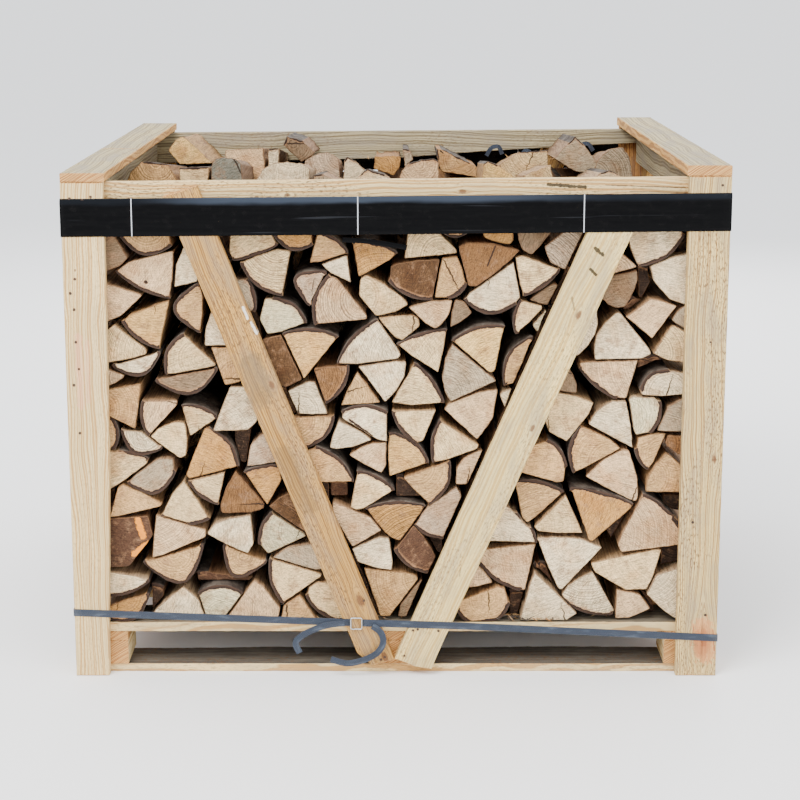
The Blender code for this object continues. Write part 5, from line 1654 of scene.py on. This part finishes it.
FILM = 0.7
STRAP = 0.8
BAND_WIDTH = 69.0
STRAP_WIDTH = 13.7
DIVIDER_SPACING = 0.405
DIVIDER_START = 0.0745
BAND_FRONT = [(-600, 867), (0, 872), (600, 878)]
BAND_BACK = [(-600, 866), (600, 877)]
STRAP_FRONT = [(-600, 124.8), (-104, 106), (-84.5, 105.4), (-63.5, 104.7), (117, 98.9), (600, 75)]
STRAP_BACK = [(-600, 120), (600, 82)]
BUCKLE_X = (-85.5, -62.5)
BUCKLE_Z = (92.0, 116.0)
WIRE = 2.4


def run_noise(tree, u, v, along, across, shift, detail=2.0):
    """Noise over a belt, by its length and its width."""
    place = joined(tree, times(tree, u, along), times(tree, v, across), shift)
    return grain_noise(tree, place, 1.0, detail)


def make_film():
    """Black stretched film: glossy, with long fine wrinkles, painted highlights on their folds, a painted
    bluish reflection along its upper edge, and a pale line where the print repeats.
    """
    made, tree, shader = surface("black film", 0.2, Specular_IOR_Level=0.07)
    uv = add(tree, "UVMap", uv_map="run").outputs[0]
    u, v, _ = split(tree, uv)
    wrinkle = run_noise(tree, u, v, 3.0, 90.0, 0.0)
    crease = run_noise(tree, u, v, 9.0, 40.0, 3.0)
    beat = maths(tree, "FRACT", ratio(tree, plus(tree, u, DIVIDER_START), DIVIDER_SPACING))
    beat = size_of(tree, centred(tree, beat))
    line = step(tree, beat, 0.0026, 0.0016)
    dust = run_noise(tree, u, v, 60.0, 90.0, 7.0, 5.0)
    black = mixed(tree, step(tree, dust, 0.5, 0.9, 0.0, 0.03), srgb((3, 3, 4)), srgb((90, 86, 82)))
    # Painted reflection: a bluish band along the upper edge, over the middle of the front
    painted_sheen = step(tree, swung(tree, crease, 0.012, v), 0.0195, 0.028)
    painted_sheen = times(tree, painted_sheen, step(tree, u, 0.12, 0.3, 0.1, 0.85))
    painted_sheen = times(tree, painted_sheen, step(tree, u, 0.75, 1.0, 1.0, 0.2))
    black = mixed(tree, painted_sheen, black, srgb((52, 59, 70)))
    # Painted highlights along the crests of the wrinkles
    painted_highlight = step(tree, wrinkle, 0.66, 0.74, 0.0, 0.22)
    black = mixed(tree, painted_highlight, black, srgb((70, 72, 78)))
    paint(tree, shader, mixed(tree, line, black, srgb((190, 192, 196))))
    tree.links.new(step(tree, dust, 0.3, 0.7, 0.2, 0.26), shader.inputs["Roughness"])
    bump(tree, shader, times_plus(tree, wrinkle, 0.5, crease), 0.0010)
    return made


def make_webbing():
    """Slate-blue woven strap: a fine twill, with lighter patches of painted highlight."""
    made, tree, shader = surface("blue webbing", 0.55, Specular_IOR_Level=0.4, Sheen_Weight=0.25)
    u, v, _ = split(tree, add(tree, "UVMap", uv_map="weave").outputs[0])
    twill = maths(tree, "SINE", times(tree, plus(tree, u, v), 4200.0))
    thread = maths(tree, "SINE", times(tree, v, 6200.0))
    both = times_plus(tree, twill, 0.5, times(tree, thread, 0.5))
    painted_lit_patches = run_noise(tree, u, v, 30.0, 120.0, 0.0, 4.0)
    colour = mixed(tree, step(tree, both, -0.8, 0.8), srgb((8, 16, 28)), srgb((34, 52, 76)))
    # Lighter grey-blue patches along the strap: painted highlight
    colour = mixed(tree, step(tree, painted_lit_patches, 0.5, 0.8, 0.0, 0.35), colour, srgb((110, 124, 140)))
    paint(tree, shader, colour)
    bump(tree, shader, both, 0.0003)
    return made


def make_wire():
    made, tree, shader = surface("bright wire", 0.3, Metallic=1.0)
    place = add(tree, "TexCoord").outputs["Object"]
    spots = grain_noise(tree, place, 900.0, 3.0)
    colour = mixed(tree, step(tree, spots, 0.4, 0.7), srgb((206, 208, 210)), srgb((150, 150, 148)))
    paint(tree, shader, colour)
    tree.links.new(step(tree, spots, 0.3, 0.7, 0.22, 0.42), shader.inputs["Roughness"])
    return made


def belt_line(front_heights, back_heights, proud, spacing):
    """Points and outward directions round the crate, from the front's left corner on to the right."""
    front = [(x, 0.0, z) for x, z in front_heights]
    back = [(x, DEPTH, z) for x, z in reversed(back_heights)]
    corners = front + back
    line = []
    for a, b in zip(corners, corners[1:] + corners[:1]):
        a, b = Vector(a), Vector(b)
        steps = max(1, round((b - a).length / spacing))
        way = (b - a).normalized()
        out = Vector((way.y, -way.x, 0)).normalized()
        for i in range(steps):
            line.append((a.lerp(b, i / steps), out))
    placed = []
    for i, (point, out) in enumerate(line):
        before = line[i - 1][1]
        turned = before + out
        turned = turned / max(turned.length_squared / 2, 1e-6)
        placed.append((point + turned * proud, turned.normalized()))
    return placed


def make_belt(name, line, profile, thickness, material, node, layer_name, ripple, gap=(0.0, 0.0)):
    """A belt along a line, with a gap on the front. The profile holds steps across it and their lift."""
    verts = []
    lengths = [0.0]
    for (a, _), (b, _) in zip(line, line[1:] + line[:1]):
        lengths.append(lengths[-1] + (b - a).length)
    for i, (point, out) in enumerate(line):
        for rise, lift in profile:
            wave = noise.noise(Vector((point.x * 0.006, point.y * 0.006 + rise * 0.08, 2.0)))
            spot = point + out * (lift + ripple * wave) + Vector((0, 0, rise))
            verts.append(world(*spot))
    size = len(profile)
    count = len(line)
    faces = []
    for i in range(count):
        k = (i + 1) % count
        middle = (line[i][0] + line[k][0]) / 2
        if gap[0] < middle.x < gap[1] and middle.y < DEPTH / 2:
            continue
        for j in range(size - 1):
            faces.append([i * size + j, k * size + j, k * size + j + 1, i * size + j + 1])
    mesh = new_mesh(name, verts, faces, [material])
    layer = mesh.uv_layers.new(name=layer_name)
    for polygon, face in zip(mesh.polygons, faces):
        for loop_index, vertex in zip(polygon.loop_indices, face):
            i, j = divmod(vertex, size)
            wraps = i == 0 and face[0] // size == count - 1
            layer.data[loop_index].uv = ((lengths[count] if wraps else lengths[i]) * MM, profile[j][0] * MM)
    smooth_all(mesh)
    item = settled(name, mesh, [node])
    thicken = item.modifiers.new("thickness", "SOLIDIFY")
    thicken.thickness = thickness * MM
    thicken.offset = -1.0


def make_ties(film, webbing, wire):
    line = belt_line(BAND_FRONT, BAND_BACK, FIT + FILM, 16.0)
    half = BAND_WIDTH / 2
    profile = [(-half, -0.25), (-half + 2, 0.0), (-24, 0.1), (-16, 0.0), (-8, 0.15), (0, 0.0), (8, 0.1),
               (16, 0.0), (22, 0.1), (27, 0.2), (half - 4, 0.1), (half - 1.5, -0.3), (half, -0.7)]
    make_belt("film", line, profile, FILM, film, "film_band", "run", 0.25)
    line = belt_line(STRAP_FRONT, STRAP_BACK, FIT + STRAP, 18.0)
    half = STRAP_WIDTH / 2
    profile = [(-half, -0.1), (-half + 1, 0.0), (0, 0.05), (half - 1, 0.0), (half, -0.1)]
    make_belt("webbing", line, profile, STRAP, webbing, "strap", "weave", 0.1,
              (BUCKLE_X[0] + 1, BUCKLE_X[1] - 1))
    curve = bpy.data.curves.new("buckle wire", "CURVE")
    curve.dimensions = "3D"
    curve.bevel_depth = WIRE / 2 * MM
    curve.bevel_resolution = 3
    inset = WIRE / 2
    x0, x1 = BUCKLE_X[0] + inset, BUCKLE_X[1] - inset
    z0, z1 = BUCKLE_Z[0] + inset, BUCKLE_Z[1] - inset
    ring = []
    radius = 2.6
    for cx, cz, first in ((x1 - radius, z1 - radius, 0), (x0 + radius, z1 - radius, 90),
                          (x0 + radius, z0 + radius, 180), (x1 - radius, z0 + radius, 270)):
        for i in range(6):
            angle = math.radians(first + i * 18)
            ring.append(world(cx + radius * math.cos(angle), -2.8, cz + radius * math.sin(angle)))
    spline = curve.splines.new("POLY")
    spline.points.add(len(ring) - 1)
    for point, spot in zip(spline.points, ring):
        point.co = (*spot, 1)
    spline.use_cyclic_u = True
    shape = link(bpy.data.objects.new("buckle curve", curve))
    mesh = bpy.data.meshes.new_from_object(shape.evaluated_get(bpy.context.evaluated_depsgraph_get()))
    bpy.data.objects.remove(shape)
    mesh.materials.clear()
    mesh.materials.append(wire)
    smooth_all(mesh)
    settled("wire_buckle", mesh, ["buckle"])


# Nails


# Nail heads on the front: x and z
NAILS = [
    (-583, 902), (-560, 898), (-545, 905), (-587, 730), (-578, 756), (-581, 700), (-580, 640), (-576, 590),
    (-586, 560), (-578, 470), (583, 926), (552, 910), (575, 902), (570, 640), (548, 300), (577, 120),
    (32, 89.7), (40.4, 91.6), (79.3, 88.8), (15.6, 39.8), (-60, 148), (-21, 37), (-28, 32), (400, 880),
    (385, 868),
]
NAIL_RADIUS = 2.6
NAIL_HEIGHT = 1.2


def make_nails(wire):
    """Nail heads by Geometry Nodes: a shallow disc at each point, sunk a little into the wood."""
    mesh = new_mesh("nail points", [world(x, -0.1, z) for x, z in NAILS], [], [])
    item = link(bpy.data.objects.new("nail_heads", mesh))
    tree = bpy.data.node_groups.new("nail heads", "GeometryNodeTree")
    tree.interface.new_socket("Geometry", in_out="INPUT", socket_type="NodeSocketGeometry")
    radius = tree.interface.new_socket("Head Radius", in_out="INPUT", socket_type="NodeSocketFloat")
    height = tree.interface.new_socket("Head Height", in_out="INPUT", socket_type="NodeSocketFloat")
    tree.interface.new_socket("Geometry", in_out="OUTPUT", socket_type="NodeSocketGeometry")
    start = tree.nodes.new("NodeGroupInput")
    end = tree.nodes.new("NodeGroupOutput")
    head = tree.nodes.new("GeometryNodeMeshCylinder")
    head.inputs["Vertices"].default_value = 14
    place = tree.nodes.new("GeometryNodeInstanceOnPoints")
    place.inputs["Rotation"].default_value = (math.pi / 2, 0, 0)
    spread = tree.nodes.new("FunctionNodeRandomValue")
    spread.data_type = "FLOAT"
    spread.inputs[2].default_value = 0.75
    spread.inputs[3].default_value = 1.15
    spread.inputs["Seed"].default_value = 5
    real = tree.nodes.new("GeometryNodeRealizeInstances")
    cover = tree.nodes.new("GeometryNodeSetMaterial")
    cover.inputs["Material"].default_value = wire
    for source, output, target, socket in (
        (start, "Geometry", place, "Points"), (start, "Head Radius", head, "Radius"),
        (start, "Head Height", head, "Depth"), (head, "Mesh", place, "Instance"),
        (spread, 1, place, "Scale"), (place, "Instances", real, "Geometry"),
        (real, "Geometry", cover, "Geometry"), (cover, "Geometry", end, "Geometry"),
    ):
        tree.links.new(source.outputs[output], target.inputs[socket])
    modifier = item.modifiers.new("nail heads", "NODES")
    modifier.node_group = tree
    modifier[radius.identifier] = NAIL_RADIUS * MM
    modifier[height.identifier] = NAIL_HEIGHT * MM
    plain = bpy.data.meshes.new_from_object(item.evaluated_get(bpy.context.evaluated_depsgraph_get()))
    item.modifiers.remove(modifier)
    item.data = plain
    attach(item, "root")


def make_rust():
    made, tree, shader = surface("dark nail", 0.55, Metallic=0.6)
    place = add(tree, "TexCoord").outputs["Object"]
    spots = grain_noise(tree, place, 700.0, 3.0)
    paint(tree, shader, mixed(tree, step(tree, spots, 0.4, 0.65), srgb((58, 50, 46)), srgb((104, 74, 54))))
    return made


# Splinters, bark crumbs and scraps of strap

# Where small pieces lie: x, depth, z, spread along x, number, longest
LITTER = [
    (240, 28, 101, 70, 46, 24), (-60, 30, 101, 120, 20, 18), (400, 45, 101, 60, 8, 20),
    (-300, 45, 101, 90, 8, 18), (60, 45, 101, 40, 6, 16), (-452, 372, 880, 10, 7, 30),
    (-250, 380, 872, 14, 6, 26), (120, 378, 876, 60, 5, 22), (430, 384, 880, 30, 5, 22),
    (-100, 720, 896, 120, 6, 24), (300, 720, 896, 120, 6, 24),
]


def make_litter(materials):
    """Splinters and crumbs: thin three-sided slivers with bent middles, lying where wood was thrown in."""
    rng = random.Random(19)
    verts, faces, kinds, place, tone = [], [], [], [], []
    for x, depth, z, spread, number, longest in LITTER:
        for _ in range(number):
            off = (rng.uniform(-spread, spread), rng.uniform(-8, 14), rng.uniform(0.5, 5))
            middle = Vector((x + off[0], depth + off[1], z + off[2]))
            way = Vector((rng.uniform(-1, 1), rng.uniform(-0.6, 0.6), rng.uniform(-0.25, 0.5))).normalized()
            length = rng.uniform(0.35, 1.0) * longest
            thick = rng.uniform(0.5, 1.5)
            side = way.cross(Vector((0, 0, 1))).normalized()
            up = way.cross(side)
            base = len(verts)
            for share, swell in ((-0.5, 0.3), (-0.15, 1.0), (0.2, 0.9), (0.5, 0.15)):
                spot = middle + way * share * length + side * math.sin(share * 3) * length * 0.08
                for angle in (0.3, 2.4, 4.5):
                    out = side * math.cos(angle) * 1.6 + up * math.sin(angle)
                    verts.append(world(*(spot + out * thick * swell)))
                    place.append(tuple(verts[-1]))
            faces += tube(base, 4, 3) + [[base, base + 1, base + 2], [base + 11, base + 10, base + 9]]
            bark = rng.random() < 0.45
            kinds += [int(bark)] * 11
            tone += [[*srgb(TONES[rng.choice(("yellow", "tan", "cream", "orange"))])[:3], 1.0]] * 12
    mesh = new_mesh("splinters", verts, faces, materials)
    mesh.polygons.foreach_set("material_index", kinds)
    store(mesh, "log_place", place)
    store(mesh, "log_tone", tone, "color")
    face_outwards(mesh)
    settled("splinters", mesh)


# Scraps of strap caught between the last logs: points in x, depth and z
SCRAPS = [
    [(196, 705, 905), (206, 700, 922), (222, 702, 925), (230, 708, 908)],
    [(272, 712, 900), (280, 706, 916), (292, 710, 912)],
    [(392, 720, 902), (402, 712, 926), (418, 716, 930), (430, 722, 914)],
]


def make_scraps(material):
    verts, faces, runs = [], [], []
    for route in SCRAPS:
        line = [Vector(point) for point in smoothed(route, 12)]
        base = len(verts)
        for i, spot in enumerate(line):
            along = line[min(i + 1, len(line) - 1)] - line[max(i - 1, 0)]
            across = along.cross(Vector((0, -1, 0.25))).normalized() * 4.5
            out = across.cross(along).normalized() * 0.5
            for corner in (spot + across, spot - across, spot - across + out, spot + across + out):
                verts.append(world(*corner))
                runs.append(i * 0.004)
        last = base + (len(line) - 1) * 4
        faces += tube(base, len(line), 4)
        faces += [[base, base + 1, base + 2, base + 3], [last + 3, last + 2, last + 1, last]]
    mesh = new_mesh("strap_scraps", verts, faces, [material])
    layer = mesh.uv_layers.new(name="weave")
    for loop in mesh.loops:
        layer.data[loop.index].uv = (runs[loop.vertex_index], (loop.vertex_index % 2) * 0.009)
    face_outwards(mesh)
    settled("strap_scraps", mesh)


# Floor and light


FLOOR_REACH = 400.0
SKY = (0.95, 0.97, 1.0, 1)
SKY_STRENGTH = 1.9
AIM = (0, 0, 0.45)

# Lamps: name, energy, size and place in metres
LAMPS = (
    ("key", 290.0, 2.4, (-1.6, -2.6, 4.2)),
    ("fill", 80.0, 3.0, (2.8, -3.4, 2.4)),
    ("rear", 120.0, 3.0, (0.5, 3.6, 2.6)),
)


def make_stage():
    made, _, shader = surface("pale floor", 0.9)
    shader.inputs["Base Color"].default_value = (0.92, 0.92, 0.92, 1)
    corners = [(x * FLOOR_REACH, y * FLOOR_REACH, 0) for x, y in ((-1, -1), (1, -1), (1, 1), (-1, 1))]
    floor = link(bpy.data.objects.new("floor", new_mesh("floor", corners, [(0, 1, 2, 3)], [made])))
    sky = bpy.data.worlds.new("studio")
    sky.use_nodes = True
    sky.node_tree.nodes["Background"].inputs["Color"].default_value = SKY
    sky.node_tree.nodes["Background"].inputs["Strength"].default_value = SKY_STRENGTH
    bpy.context.scene.world = sky
    for name, energy, size, spot in LAMPS:
        data = bpy.data.lights.new(name, "AREA")
        data.energy = energy
        data.size = size
        lamp = link(bpy.data.objects.new(name, data))
        lamp.location = spot
        lamp.rotation_euler = (Vector(AIM) - Vector(spot)).to_track_quat("-Z", "Y").to_euler()


make_camera()
film_material = make_film()
webbing_material = make_webbing()
ribbon("left_strap_end", STRAP_TAIL_LEFT, 12, 0.9, webbing_material, "strap_tail_left")
ribbon("right_strap_end", STRAP_TAIL_RIGHT, 12, 0.9, webbing_material, "strap_tail_right")
ribbon("film_end", BAND_TAIL, 9, 1.0, film_material, "band_tail")

blotches = make_blotches()
saw_marks = make_saw_marks()
stroke = make_stroke()
log_materials = [make_sawn_end(saw_marks, blotches, stroke), make_split_side(blotches), make_bark(blotches),
                 make_sawn_end(saw_marks, blotches, stroke, "marked beech end", MARKS)]
make_rows(log_materials)
make_loose_logs(log_materials)
make_boards(make_grain(), make_knot(), stroke, blotches, saw_marks)
make_ties(film_material, webbing_material, make_wire())
make_nails(make_rust())
make_litter(log_materials[1:3])
make_scraps(webbing_material)
make_stage()
